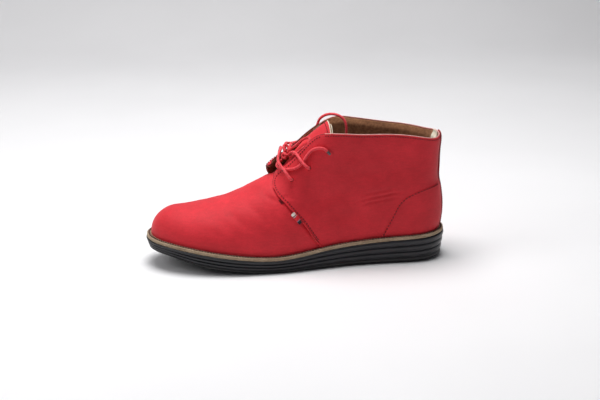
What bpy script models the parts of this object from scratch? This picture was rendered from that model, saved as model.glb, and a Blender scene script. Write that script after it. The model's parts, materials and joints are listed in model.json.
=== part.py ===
"""A left men's chukka boot: leather upper on a ridged cup sole, laced loosely through two pairs of eyelets.

The boot stands on Z = 0 with its toe towards -X, its heel towards +X and its outer (lateral) side towards -Y.
Numbers are millimetres until an object is made, when they become metres.
The upper is one closed form, given by the functions under "The form". Each panel is a patch of that form, moved
in or out along the form's normals, so that leather, stiffener and lining nest without touching.
"""

import math

import bmesh
import bpy
import numpy as np
from mathutils import Matrix, Vector

MM = 0.001

# ---- driving dimensions of the upper ----
TOE_TIP = -154.0
NOSE_LENGTH = 26.0
NOSE_POWER = 2.1
BALL_X = -54.0
BALL_HALF = 48.3
TOE_POWER = 2.2
TOE_TURN = 5.0
SECTION_POWER = 2.2
HEEL_RADIUS = 38.0
SECTION_RISE = 60.0
LEG_HALF = 32.4
THROAT_X = -24.0
THROAT_Z = 95.2
FRONT_SLOPE = 1.53

# ---- layers, as distances outwards from the form ----
LEATHER = 1.25
UNDERLAP = 7.0
UNDERLAP_DIP = 2.05
STIFFENER_OUT = -1.8
STIFFENER = 0.9
LINING_OUT = -4.4
LINING = 0.9
FLAP_LIFT = 9.0

# ---- sole ----
SOLE_PROUD = 4.4
WELT_GAP = 0.6
WELT_TOP = -0.4
WELT_BOTTOM = -3.5
SOLE_TOP = -3.8
SKIRT = -3.4
SOLE_RIDGES = 4
OUTSOLE_SHARE = 0.22

VAMP_ROWS = 11
VAMP_STEPS = 9

LATERAL = -1
MEDIAL = 1
# The bottom centre of the boot's box, where the finished part has its origin.
ORIGIN = Vector((-3.75, 0, 0))


def spline(points):
    """A natural cubic curve through (x, y) points, level with its end slopes outside them."""
    xs = np.array([p[0] for p in points], float)
    ys = np.array([p[1] for p in points], float)
    gaps = np.diff(xs)
    slopes = np.diff(ys) / gaps
    size = len(xs)
    matrix = np.eye(size)
    right = np.zeros(size)
    for i in range(1, size - 1):
        matrix[i, i - 1 : i + 2] = gaps[i - 1], 2 * (gaps[i - 1] + gaps[i]), gaps[i]
        right[i] = 6 * (slopes[i] - slopes[i - 1])
    bend = np.linalg.solve(matrix, right)

    def curve(x):
        x = np.asarray(x, float)
        inside = np.clip(x, xs[0], xs[-1])
        i = np.clip(np.searchsorted(xs, inside, side="right") - 1, 0, size - 2)
        a = (xs[i + 1] - inside) / gaps[i]
        b = 1 - a
        y = a * ys[i] + b * ys[i + 1]
        y = y + ((a**3 - a) * bend[i] + (b**3 - b) * bend[i + 1]) * gaps[i] ** 2 / 6
        start = slopes[0] - gaps[0] * bend[1] / 6
        end = slopes[-1] + gaps[-1] * bend[-2] / 6
        return y + np.where(x < xs[0], (x - xs[0]) * start, 0) + np.where(x > xs[-1], (x - xs[-1]) * end, 0)

    return curve


def path(points):
    """A smooth curve through 2D or 3D points, by its share of the length from 0 to 1."""
    points = np.array(points, float)
    steps = np.linalg.norm(np.diff(points, axis=0), axis=1)
    along = np.concatenate([[0], np.cumsum(steps)]) / steps.sum()
    axes = [spline(list(zip(along, points[:, k]))) for k in range(points.shape[1])]
    return lambda t: np.stack([axis(t) for axis in axes], axis=-1)


def ease(value, start, end):
    """0 at start, 1 at end, level at both."""
    t = np.clip((value - start) / (end - start), 0, 1)
    return t * t * (3 - 2 * t)


def soft_max(a, b, blend):
    return (a + b + np.sqrt((a - b) ** 2 + blend**2)) / 2


def soft_min(a, b, blend):
    return (a + b - np.sqrt((a - b) ** 2 + blend**2)) / 2


# ---- The form ----
# Heights of the feather line, where the upper meets the welt, and of the vamp's ridge.
feather = spline([(-152, 31.8), (-132, 30), (-106, 26.2), (-82, 22.6), (-58, 19.5), (-36, 17.9),
                  (-12, 19), (15, 22.8), (45, 26), (80, 28.5), (115, 30), (148, 31.5)])
vamp_ridge = spline([(-155, 57.2), (-130, 59.2), (-104, 62.6), (-78, 68.4), (-54, 78.2), (-40, 85.2),
                     (-28, 91.2), (0, 104)])
# Half-widths of the foot at the feather line, behind the ball.
lateral_half = spline([(BALL_X, BALL_HALF), (-30, 47.3), (0, 43), (20, 39), (40, 35.6), (60, 33.6),
                       (80, 32.6), (110, 32.2), (150, 32.2)])
medial_half = spline([(BALL_X, BALL_HALF), (-30, 46.3), (0, 39.5), (20, 35.5), (40, 33.4), (60, 32.8),
                      (80, 32.6), (110, 32.4), (150, 32.4)])
# X of the heel's back seam by height, and height of the topline by X.
heel_back = spline([(22, 145), (28, 146.2), (34, 147), (45, 148.2), (56, 148.3), (67, 147.2), (77, 145.4),
                    (83, 144), (94, 143.7), (116, 144.2), (126, 144.8), (133, 144)])
lateral_top = spline([(15, 138.4), (28, 139.3), (42, 139), (56, 138), (76, 137.6), (97, 136.6), (117, 133.6),
                      (131, 130.4), (139, 129.6), (146, 131.4)])
medial_top = spline([(15, 128), (29, 138), (37, 141), (46, 141.9), (57, 140.7), (74, 138), (89, 135.6), (110, 132.6),
                     (129, 130), (139, 129.6), (146, 131.4)])


def nose(x):
    ahead = np.clip((TOE_TIP + NOSE_LENGTH - x) / NOSE_LENGTH, 0, 1)
    return (1 - ahead**NOSE_POWER) ** (1 / NOSE_POWER)


def ridge(x):
    """Height of the form's front centre line: over the vamp, then steeply up the front of the leg."""
    leg = THROAT_Z + FRONT_SLOPE * (x - THROAT_X)
    crest = soft_max(vamp_ridge(x), leg, 4.0)
    return feather(x) + (crest - feather(x)) * nose(x)


def widths(x, z):
    """(centre line's Y, half-width) of the form where it is widest, at this X and height."""
    ahead = np.clip((BALL_X - x) / (BALL_X - TOE_TIP), 0, 1)
    toe = (1 - ahead**TOE_POWER) ** (1 / TOE_POWER)
    leg = ease(x, -60, 15) * ease(z, 32, 88)
    flare = 1.2 * ease(z, 112, 140)
    lateral = lateral_half(np.maximum(x, BALL_X)) * (1 - leg) + (LEG_HALF + flare) * leg
    medial = medial_half(np.maximum(x, BALL_X)) * (1 - leg) + (LEG_HALF + flare) * leg
    tuck = 1.3 * (1 - ease(z - feather(x), -4, 12)) * toe
    centre = (medial - lateral) / 2 + TOE_TURN * ahead**2
    return centre, np.maximum((medial + lateral) / 2 * toe - tuck, 0.02)


def closing(x, z):
    """How far the section has closed towards the front ridge and the heel seam: 0 open, 1 closed."""
    height = ridge(x) - feather(x)
    rise = np.maximum(soft_min(height, SECTION_RISE, 4.0), 0.4)
    front = np.clip(1 - (ridge(x) - z) / rise, 0, 1.5)
    back = np.clip(1 - (heel_back(z) - x) / HEEL_RADIUS, 0, 1.5)
    return front**SECTION_POWER + back**SECTION_POWER


def form_y(x, z, side):
    centre, half = widths(x, z)
    return centre + side * half * np.clip(1 - closing(x, z), 0, 1) ** (1 / SECTION_POWER)


def form_value(x, y, z):
    centre, half = widths(x, z)
    return np.abs((y - centre) / half) ** SECTION_POWER + closing(x, z)


def normals(x, y, z):
    step = 0.04
    slope = np.stack([
        form_value(x + step, y, z) - form_value(x - step, y, z),
        form_value(x, y + step, z) - form_value(x, y - step, z),
        form_value(x, y, z + step) - form_value(x, y, z - step),
    ], axis=-1)
    return slope / np.maximum(np.linalg.norm(slope, axis=-1, keepdims=True), 1e-12)


def on_form(x, z, side, out=0.0):
    """Points of the form at side-view places (x, z), moved out along the normals."""
    x, z = np.broadcast_arrays(np.asarray(x, float), np.asarray(z, float))
    y = form_y(x, z, side)
    return np.stack([x, y, z], axis=-1) + normals(x, y, z) * np.asarray(out, float)[..., None]


# ---- The quarters' outline, in the side view ----
# From the welt up the vamp seam, round the rounded lower corner, and up the lace facing to the topline.
SEAM = [(19.5, 23.0), (13.5, 29.5), (9, 35.5), (1.8, 46.7), (-8, 59.1), (-17.5, 69.9), (-24.8, 77.1),
        (-29, 82.6), (-29.6, 88), (-26.4, 94), (-19.6, 101), (-12, 109), (-4, 118), (3.5, 126.6),
        (9.5, 132.8), (15, 136.8), (21, 138.8), (28, 139.3)]
# On the medial side the facing lies further open at the top.
MEDIAL_FACING = [(-11.5, 111), (-2, 119.3), (9, 127), (20, 133.6), (29, 138)]
front_edges = {LATERAL: path(SEAM), MEDIAL: path(SEAM[:11] + MEDIAL_FACING)}


def top_height(x, side):
    return lateral_top(x) if side == LATERAL else medial_top(x)


def behind_seam(x, z):
    """Distance in the side view behind the vamp seam: negative on the vamp's side."""
    t = np.linspace(0, 0.56, 180)
    edge = front_edges[LATERAL](t)
    flat = np.stack([np.ravel(x), np.ravel(z)], axis=-1)
    gap = flat[:, None, :] - edge[None]
    nearest = np.argmin((gap**2).sum(axis=-1), axis=1)
    tangent = np.gradient(edge, axis=0)[nearest]
    offset = gap[np.arange(len(flat)), nearest]
    sign = np.sign(tangent[:, 1] * offset[:, 0] - tangent[:, 0] * offset[:, 1])
    return (sign * np.linalg.norm(offset, axis=-1)).reshape(np.shape(x))


# ---- Blender helpers ----
def fresh_scene(title):
    for obj in list(bpy.data.objects):
        bpy.data.objects.remove(obj, do_unlink=True)
    part = bpy.data.collections.new(title)
    cutters = bpy.data.collections.new(title + "_cutters")
    for collection in (part, cutters):
        bpy.context.scene.collection.children.link(collection)
    return part, cutters


def material(name, colour, roughness, metallic=0.0):
    made = bpy.data.materials.new(name)
    made.use_nodes = True
    shader = made.node_tree.nodes["Principled BSDF"]
    shader.inputs["Base Color"].default_value = (*colour, 1)
    shader.inputs["Roughness"].default_value = roughness
    shader.inputs["Metallic"].default_value = metallic
    made.diffuse_color = (*colour, 1)
    return made


def add_object(name, data, finish, collection):
    obj = bpy.data.objects.new(name, data)
    collection.objects.link(obj)
    if finish:
        obj.data.materials.append(MATERIALS[finish])
    return obj


def mesh_from(name, vertices, faces, merge=True):
    """A mesh of points in millimetres, its coincident points made one and its faces turned one way."""
    mesh = bpy.data.meshes.new(name)
    mesh.from_pydata([(Vector(v) - ORIGIN) * MM for v in vertices], [], faces)
    work = bmesh.new()
    work.from_mesh(mesh)
    if merge:
        bmesh.ops.remove_doubles(work, verts=work.verts, dist=2e-6)
        bmesh.ops.dissolve_degenerate(work, edges=work.edges, dist=1e-7)
    work.to_mesh(mesh)
    work.free()
    mesh.shade_smooth()
    mesh.set_sharp_from_angle(angle=math.radians(40))
    return mesh


def grid_faces(rows, columns):
    faces = []
    for r in range(rows - 1):
        for c in range(columns - 1):
            a = r * columns + c
            faces.append((a, a + 1, a + columns + 1, a + columns))
    return faces


def shell(name, points, thickness, finish, inwards):
    """A panel: the open patch through a grid of points, thickened towards the inside of the boot.

    inwards is a point that the patch's inner side faces, or a direction when the patch is flat enough."""
    rows, columns = points.shape[:2]
    mesh = mesh_from(name, points.reshape(-1, 3), grid_faces(rows, columns))
    row, column = (rows - 1) // 2, (columns - 1) // 2
    middle = points[row, column]
    across = points[row, column + 1] - middle
    along = points[row + 1, column] - middle
    if np.dot(np.cross(across, along), np.asarray(inwards, float) - middle) > 0:
        mesh.flip_normals()
    obj = add_object(name, mesh, finish, PART)
    solid = obj.modifiers.new("thickness", "SOLIDIFY")
    solid.thickness = thickness * MM
    solid.offset = -1
    solid.use_even_offset = False
    return obj


def set_pivot(obj, point):
    """Moves the object's origin onto its joint's axis and leaves its shape where it is."""
    place = (Vector(point) - ORIGIN) * MM
    obj.data.transform(Matrix.Translation(-place))
    obj.location = place
    return obj


def cut(obj, cutter, operation="DIFFERENCE"):
    boolean = obj.modifiers.new(cutter.name, "BOOLEAN")
    boolean.operation = operation
    boolean.object = cutter
    boolean.solver = "EXACT"


def cutter_object(name, mesh):
    obj = add_object(name, mesh, None, CUTTERS)
    obj.hide_render = True
    obj.display_type = "WIRE"
    return obj


def prism_cutter(name, outline, low_y, high_y):
    """A side-view outline pushed through the boot from low_y to high_y."""
    count = len(outline)
    vertices = [(x, low_y, z) for x, z in outline] + [(x, high_y, z) for x, z in outline]
    faces = [tuple(range(count)), tuple(range(2 * count - 1, count - 1, -1))]
    for i in range(count):
        j = (i + 1) % count
        faces.append((j, i, count + i, count + j))
    mesh = mesh_from(name, vertices, faces, merge=False)
    turn_outwards(mesh)
    return cutter_object(name, mesh)


def peg_cutter(name, middle, axis, radius, length):
    """A round cutter centred on a point, along an axis."""
    work = bmesh.new()
    bmesh.ops.create_cone(work, cap_ends=True, segments=12, radius1=radius * MM, radius2=radius * MM,
                          depth=length * MM)
    mesh = bpy.data.meshes.new(name)
    work.to_mesh(mesh)
    work.free()
    obj = cutter_object(name, mesh)
    obj.rotation_euler = Vector(axis).to_track_quat("Z", "Y").to_euler()
    obj.location = (Vector(middle) - ORIGIN) * MM
    return obj


def outward_mesh(name, vertices, faces, finish):
    """An object from a closed set of faces, all turned outwards."""
    mesh = mesh_from(name, vertices, faces)
    turn_outwards(mesh)
    return add_object(name, mesh, finish, PART)


def turn_outwards(mesh):
    work = bmesh.new()
    work.from_mesh(mesh)
    bmesh.ops.recalc_face_normals(work, faces=work.faces)
    work.to_mesh(mesh)
    work.free()


# ---- Outline of the sole, in plan ----
TOE_STEPS = 6
FOOT_STEPS = 12
HEEL_STEPS = 6


def outline_x():
    """X stations of the feather line from the toe tip to the heel seam, close together where it turns."""
    toe = TOE_TIP + 26 * (1 - np.cos(np.linspace(0, math.pi / 2, TOE_STEPS + 1)))
    heel_start = heel_back(30.0) - HEEL_RADIUS
    foot = np.linspace(toe[-1], heel_start, FOOT_STEPS + 1)[1:]
    heel = heel_start + HEEL_RADIUS * np.sin(np.linspace(0, math.pi / 2, HEEL_STEPS + 1))[1:]
    return np.concatenate([toe, foot, heel])


def outline(side):
    """Feather-line points in plan on one side, with their outward plan normals."""
    x = outline_x()
    z = feather(x)
    inner_x = np.clip(x, TOE_TIP + 0.02, heel_back(30.0) - 0.01)
    y = form_y(inner_x, z, side)
    flat = np.stack([x, y], axis=-1)
    tangent = np.gradient(flat, axis=0)
    normal = np.stack([-tangent[:, 1], tangent[:, 0]], axis=-1) * side
    normal /= np.linalg.norm(normal, axis=-1, keepdims=True)
    flat[0, 1] = TOE_TURN
    flat[-1, 1] = 0
    normal[0] = -1, 0
    normal[-1] = 1, 0
    return flat, normal


def outline_ring(out, height):
    """A closed ring round the sole: the outline moved out, its height a function of the feather's X."""
    lateral, lateral_out = outline(LATERAL)
    medial, medial_out = outline(MEDIAL)
    x = np.concatenate([lateral[:, 0], medial[-2:0:-1, 0]])
    flat = np.concatenate([lateral + lateral_out * out, (medial + medial_out * out)[-2:0:-1]])
    return np.column_stack([flat, height(x)])


def ladder(start, count, half):
    """Faces that close a ring: rungs from each lateral point to the medial one beside it."""
    faces = []
    for i in range(half - 1):
        left = start + i
        right = start + (count - i) % count
        next_left = start + i + 1
        next_right = start + (count - i - 1) % count
        faces.append(tuple(dict.fromkeys((left, next_left, next_right, right))))
    return [face for face in faces if len(face) > 2]


def ring_solid(name, rings, finish):
    """A solid slab: rings from its top to its bottom, closed by a ladder of faces at each end."""
    count = len(rings[0])
    half = count // 2 + 1
    vertices = np.concatenate(rings)
    faces = []
    for level in range(len(rings) - 1):
        for i in range(count):
            j = (i + 1) % count
            faces.append((level * count + i, level * count + j, (level + 1) * count + j, (level + 1) * count + i))
    faces += ladder(0, count, half)
    faces += [face[::-1] for face in ladder((len(rings) - 1) * count, count, half)]
    return outward_mesh(name, vertices, faces, finish)


def ring_band(name, rings, finish):
    """A closed band: the rings are the corners of its section, in order round it."""
    count = len(rings[0])
    levels = len(rings)
    vertices = np.concatenate(rings)
    faces = []
    for level in range(levels):
        after = (level + 1) % levels
        for i in range(count):
            j = (i + 1) % count
            faces.append((level * count + i, level * count + j, after * count + j, after * count + i))
    return outward_mesh(name, vertices, faces, finish)


# ---- Sole unit ----
sole_bottom = spline([(-152, 17.2), (-140, 16.2), (-128, 13.8), (-114, 10), (-100, 6.9), (-82, 4), (-64, 2),
                      (-47, 0.8), (-34, 0.15), (-24, 0)])


def ground(x):
    """Height of the tread: flat from the ball to the heel, sprung up towards the toe."""
    return np.where(x > -24, 0.0, np.maximum(sole_bottom(np.minimum(x, -24)), 0.0))


def sidewall_out(share):
    """How far the ridged sidewall stands out from the feather line, by its share of the way down."""
    wave = 0.75 * math.cos(2 * math.pi * (share * SOLE_RIDGES - 0.5))
    taper = 3.6 * share + 4.5 * max(0.0, (share - 0.86) / 0.14) ** 2
    return SOLE_PROUD + 0.35 + wave - taper


def sidewall_ring(share, drop=0.0):
    def height(x):
        top = feather(x) + SOLE_TOP
        return top + (ground(x) - top) * share + drop

    return outline_ring(sidewall_out(share), height)


def make_sole():
    split = 1 - OUTSOLE_SHARE
    steps = np.linspace(0, split, 10)
    ring_solid("midsole", [sidewall_ring(s) for s in steps], "midsole_foam")
    low = [sidewall_ring(s, -0.3 * (1 - (s - split) / OUTSOLE_SHARE)) for s in np.linspace(split, 1, 5)]
    ring_solid("outsole", low, "outsole_rubber")

    def at(level):
        return lambda x: feather(x) + level

    welt = [outline_ring(WELT_GAP, at(WELT_TOP)), outline_ring(SOLE_PROUD - 0.5, at(WELT_TOP)),
            outline_ring(SOLE_PROUD, at(WELT_TOP - 0.5)), outline_ring(SOLE_PROUD, at(WELT_BOTTOM)),
            outline_ring(WELT_GAP, at(WELT_BOTTOM))]
    ring_band("welt", welt, "welt_tan")
    inner = LINING_OUT - LINING - 0.9
    ring_solid("insole_board", [outline_ring(inner, at(-0.7)), outline_ring(inner, at(-2.1))], "fibre_board")
    ring_solid("footbed", [outline_ring(inner - 0.8, at(2.6)), outline_ring(inner - 0.2, at(1.8)),
                           outline_ring(inner - 0.2, at(-0.4))], "footbed_cloth")
    xs = np.linspace(-6, 98, 9)
    width = 7 - 1.5 * np.cos(np.linspace(0, 2 * math.pi, 9))
    points = np.array([[(x, s * w + 0.5, feather(x) - 2.4) for x, w in zip(xs, width)] for s in (-1, 0, 1)])
    shell("shank", points, 1.0, "spring_steel", (45, 0, -100))


# ---- Vamp, toe puff and vamp lining ----
def seam_x(share):
    """X of the vamp seam at a share of the way up from the feather line to the ridge."""
    x = np.linspace(-45, 32, 300)
    z = feather(x) + (ridge(x) - feather(x)) * share
    behind = behind_seam(x, z) > 0
    return x[np.argmax(behind)] if behind.any() else THROAT_X


def vamp_stations(share, reach, last_x):
    toe = TOE_TIP + NOSE_LENGTH * (1 - np.cos(np.linspace(0, math.pi / 2, 6)))
    toe[0] += 0.03
    if last_x is not None:
        return np.concatenate([toe, np.linspace(toe[-1], last_x + 4 * (1 - share), 4)[1:]])
    seam = seam_x(share)
    if reach > 0:
        reach *= 1 - 0.75 * share**3
    if reach <= 0:
        return np.concatenate([toe, np.linspace(toe[-1], seam + reach, VAMP_STEPS)[1:]])
    return np.concatenate([toe, np.linspace(toe[-1], seam - 8, VAMP_STEPS)[1:],
                           [seam - 1, seam + reach / 2, seam + reach]])


def vamp_grid(reach, out, rows, last_x=None, skirt=True):
    """Grid over the toe and vamp, from the lateral welt over the ridge to the medial welt."""
    turn = np.linspace(0, 1, rows)
    shares = np.sin(turn * math.pi / 2) ** (2 / SECTION_POWER)
    grid = []
    for side in (LATERAL, MEDIAL):
        lines = []
        for share in shares:
            x = vamp_stations(share, reach, last_x)
            z = feather(x) + (ridge(x) - feather(x)) * share
            moved = np.full_like(x, out)
            if reach > 0:
                dip = UNDERLAP_DIP + 0.3 * share + 1.45 * share**3 * (1 - share**4)
                moved[-4:] -= dip * np.array([0, 1, 1, 1])
            line = on_form(x, z, side, moved)
            line[0] = (TOE_TIP - out, TOE_TURN, feather(TOE_TIP))
            lines.append(line)
        if skirt:
            bottom = lines[0].copy()
            bottom[:, 2] = feather(bottom[:, 0]) + SKIRT
            lines.insert(0, bottom)
        grid.append(lines if side == LATERAL else lines[-2::-1])
    return np.array(grid[0] + grid[1])


def make_vamp():
    inside = (-60, 0, 35)
    shell("vamp", vamp_grid(UNDERLAP, 0, VAMP_ROWS), LEATHER, "leather_red", inside)
    shell("vamp_lining", vamp_grid(-4, LINING_OUT, VAMP_ROWS), LINING, "lining_brown", inside)
    shell("toe_puff", vamp_grid(0, STIFFENER_OUT, VAMP_ROWS, last_x=-108, skirt=False), STIFFENER,
          "stiffener", inside)


# ---- Quarters, lining, counter ----
FRONT_SHARES = (0, 0.035, 0.08, 0.14, 0.22, 0.33, 0.47, 0.63, 0.81, 1)
BACK_STEPS = 6
QUARTER_ROWS = 16
SEAM_HALF_GAP = 0.8


def quarter_xz(side):
    """Side-view places of a quarter's grid: rows from welt to topline, columns from front edge to heel seam."""
    v = np.linspace(0, 1, QUARTER_ROWS)
    front = front_edges[side](v)
    low_z = feather(146.0) + SKIRT
    back_z = low_z + (top_height(146.0, side) - low_z) * v
    back_x = heel_back(back_z)
    turn = back_x - HEEL_RADIUS
    flat = front[:, :1] + (turn - front[:, 0])[:, None] * np.array(FRONT_SHARES)
    curved = turn[:, None] + HEEL_RADIUS * np.sin(np.linspace(0, math.pi / 2, BACK_STEPS + 1))[1:]
    x = np.concatenate([flat, curved], axis=1)
    share = (x - x[:, :1]) / (back_x - x[:, 0])[:, None]
    straight = front[:, 1:2] * (1 - share) + back_z[:, None] * share
    low = feather(x[0]) + SKIRT - straight[0]
    high = top_height(x[-1], side) - straight[-1]
    low[0] = 0
    high[0] = 0
    weight = v[:, None]
    return x, straight + (1 - weight) * low + weight * high


def flap(x, z, side):
    """How far the medial quarter's lower corner is lifted off the vamp."""
    if side == LATERAL:
        return np.zeros(np.shape(x))
    gap = np.hypot((x + 27) * 0.9, (z - 92) * 0.75)
    return FLAP_LIFT * (1 - ease(gap, 2, 30)) * ease(z, 78, 90)


def quarter_grid(side, out, first=0, last=None, low=0, high=None):
    x, z = quarter_xz(side)
    points = on_form(x, z, side, out + flap(x, z, side))
    points[:, -1, 1] = side * SEAM_HALF_GAP
    return points[low:high, first:last]


INNER = (70, 0, 80)


def make_quarters():
    heel_line = path([(152, 82.5), (142, 80.8), (125, 78.5), (112, 74.5), (103, 69.5), (97, 63), (92.5, 54),
                      (88, 45), (83.5, 36), (77, 22)])
    edge = heel_line(np.linspace(0, 1, 24))
    outside = np.array([(77, 10), (165, 10), (165, 82.5)])
    panel = np.concatenate([edge, outside])
    middle = panel.mean(axis=0)
    heel_side = prism_cutter("heel_seam_cut", panel, -60, 60)
    inner_panel = panel + (middle - panel) * 0.008
    heel_keep = prism_cutter("heel_seam_keep", inner_panel, -61, 61)
    # The lifted flap's lining lies over the vamp, so below the flap it stops short of the vamp's hidden edge.
    vamp_side = prism_cutter("flap_lining_cut", [(-60, 10), (32, 10), (27, 30), (17, 44), (6, 58), (-4, 70),
                                                 (-10, 77), (-14, 84.5), (-60, 84.5)], 2, 70)
    for side, word in ((LATERAL, "lateral"), (MEDIAL, "medial")):
        outer = quarter_grid(side, 0)
        quarter = shell("quarter_" + word, outer, LEATHER, "leather_red", INNER)
        cut(quarter, heel_side)
        foxing = shell("heel_foxing_" + word, outer[:, 5:], LEATHER, "leather_red", INNER)
        cut(foxing, heel_keep, "INTERSECT")
        lining = shell("quarter_lining_" + word, quarter_grid(side, LINING_OUT), LINING, "lining_brown", INNER)
        if side == MEDIAL:
            cut(lining, vamp_side)
        shell("facing_stay_" + word, quarter_grid(side, STIFFENER_OUT, 1, 4, 9, 15),
              STIFFENER, "stiffener", INNER)
        shell("collar_foam_" + word, quarter_grid(side, STIFFENER_OUT, 4, 15, 12, 15), 1.4,
              "collar_foam", INNER)


def wrap_grid(out, first, rows):
    """Grid round the heel from side to side: the back columns of both quarters, meeting on the seam."""
    sides = []
    for side in (LATERAL, MEDIAL):
        x, z = quarter_xz(side)
        points = on_form(x[rows, first:] - 1e-4, z[rows, first:], side, out)
        points[:, -1, 1] = 0
        sides.append(points)
    return np.concatenate([sides[0], sides[1][:, -2::-1]], axis=1)


def back_grid(out, angle, low_z, high_z, rows):
    """Grid over the heel seam, reaching the same angle round the heel on both sides."""
    turn = np.radians(np.concatenate([np.linspace(angle, 89.9, 3), np.linspace(89.9, angle, 3)[1:]]))
    sides = np.array([LATERAL] * 3 + [MEDIAL] * 2)
    z = np.linspace(low_z, high_z, rows)
    grid = []
    for height in z:
        x = heel_back(height) - HEEL_RADIUS * (1 - np.sin(turn))
        row = [on_form(px, height, side, out) for px, side in zip(x, sides)]
        row[2][1] = 0
        grid.append(row)
    return np.array(grid)


def make_heel():
    shell("heel_counter", wrap_grid(STIFFENER_OUT, 8, slice(1, 7)), STIFFENER, "stiffener", INNER)
    shell("back_strip", back_grid(1.5, 79.5, 32.2, 130.9, 13), 1.1, "leather_red", INNER)
    shell("heel_tape", back_grid(LINING_OUT - LINING - 0.9, 76, 119, 130.4, 4), 0.6, "cream_tape", INNER)


# ---- Tongue, hinged at the throat ----
TONGUE_LINE = [(-26, 88.4), (-16, 100.3), (-6, 113.2), (4, 125.2), (12, 132.4), (20, 139), (28.5, 145.5)]
TONGUE_ROWS = 12
tongue_line = path(TONGUE_LINE)
tongue_half = spline([(0, 8.5), (0.15, 10.5), (0.3, 15), (0.5, 19.5), (0.75, 21.5), (0.92, 21), (1, 19)])
tongue_drop = spline([(0, 0.034), (0.2, 0.028), (0.6, 0.021), (1, 0.024)])


def tongue_grid(out):
    t = np.linspace(0, 1, TONGUE_ROWS)
    middle = tongue_line(t)
    along = np.gradient(middle, axis=0)
    along /= np.linalg.norm(along, axis=1, keepdims=True)
    across = np.linspace(-1, 1, 9)
    grid = []
    for k, share in enumerate(t):
        y = across * tongue_half(share)
        slope = 2 * tongue_drop(share) * y
        steep = np.sqrt(1 + slope**2)
        down = tongue_drop(share) * y**2 - out / steep
        places = middle[k] + np.outer(down, (along[k, 1], -along[k, 0]))
        grid.append(np.column_stack([places[:, 0], y + out * slope / steep, places[:, 1]]))
    return np.array(grid)


def make_tongue():
    root = (TONGUE_LINE[0][0], 0, TONGUE_LINE[0][1])
    set_pivot(shell("tongue", tongue_grid(0), 1.4, "leather_red", (40, 0, 90)), root)
    set_pivot(shell("tongue_lining", tongue_grid(-1.75), 1.0, "lining_brown", (40, 0, 90)), root)


# ---- Eyelets ----
EYELETS = [("upper", 5.3, 105.0), ("lower", -11.7, 92.6)]
LACE = 1.4
EYELET_HOLE = 2.1


def eyelet_place(x, z, side):
    """(point on the panel, its outward normal) at an eyelet, the medial flap's lift included."""
    xs = np.array([x, x + 1, x - 1, x, x])
    zs = np.array([z, z, z, z + 1, z - 1])
    middle, ahead, back, up, down = on_form(xs, zs, side, flap(xs, zs, side))
    normal = np.cross(ahead - back, up - down) * -side
    return Vector(middle), Vector(normal).normalized()


def make_eyelet(name, middle, normal):
    """A blind eyelet: a short barrel through stay and lining with a flange on the boot's inner side."""
    profile = [(EYELET_HOLE, -6.7), (3.9, -6.7), (3.9, -6.2), (2.6, -6.2), (2.6, -3), (EYELET_HOLE, -3)]
    mesh = bpy.data.meshes.new(name)
    count = len(profile)
    mesh.from_pydata([(r * MM, 0, z * MM) for r, z in profile], [(i, (i + 1) % count) for i in range(count)], [])
    obj = add_object(name, mesh, "eyelet_metal", PART)
    screw = obj.modifiers.new("turn", "SCREW")
    screw.steps = screw.render_steps = 14
    screw.use_merge_vertices = True
    screw.merge_threshold = 1e-5
    screw.use_normal_calculate = True
    screw.use_normal_flip = True
    obj.rotation_euler = Vector(normal).to_track_quat("Z", "Y").to_euler()
    obj.location = (Vector(middle) - ORIGIN) * MM
    return obj


def make_eyelets():
    for side, word in ((LATERAL, "lateral"), (MEDIAL, "medial")):
        for level, x, z in EYELETS:
            middle, normal = eyelet_place(x, z, side)
            make_eyelet(f"eyelet_{word}_{level}", middle, normal)
            small = peg_cutter(f"lace_hole_{word}_{level}", middle, normal, EYELET_HOLE, 9)
            large = peg_cutter(f"barrel_hole_{word}_{level}", middle - normal * 4.2, normal, 3.2, 5)
            cut(bpy.data.objects["quarter_" + word], small)
            cut(bpy.data.objects["facing_stay_" + word], large)
            wide = peg_cutter(f"flange_recess_{word}_{level}", middle - normal * 5.2, normal, 4.3, 5)
            cut(bpy.data.objects["quarter_lining_" + word], wide)


# ---- Laces ----
KNOT = (-15.5, 0.0, 110.5)


def through(place, heights):
    point, normal = place
    return [tuple(point + normal * h) for h in heights]


def held_route():
    """One length of lace: knot, both lateral eyelets, across the throat, both medial eyelets, knot."""
    near_top, near_low, far_low, far_top = [
        eyelet_place(x, z, side)
        for (_, x, z), side in zip((EYELETS[0], EYELETS[1], EYELETS[1], EYELETS[0]),
                                   (LATERAL, LATERAL, MEDIAL, MEDIAL))
    ]
    return (
        [(-12.1, -4, 112.4), (-9.8, -9.8, 116.2), (-7.6, -17, 117.8), (-4.8, -25.6, 115.6), (-2, -32, 111.8)]
        + through(near_top, (4.8, 2.2, -2, -7.5)) + through(near_low, (-7.5, -2, 2.2, 3))
        + [(-16.2, -30.6, 98), (-20.2, -24, 103.4), (-22.8, -17, 106), (-23.8, -10.5, 108.2), (-22.8, -4.5, 110.8),
           (-21, 2, 113.4), (-18.8, 8.5, 115.2), (-18.2, 16, 115), (-18.2, 24, 110.6), (-18, 31.5, 104)]
        + through(far_low, (4.6, 2, -2, -7.5)) + through(far_top, (-7.5, -2, 2.2, 4))
        + [(-0.6, 31, 111.6), (-4.6, 25, 116), (-7.6, 17, 118), (-9.8, 9.8, 114.6), (-12.6, 4.9, 110.9)]
    )


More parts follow.
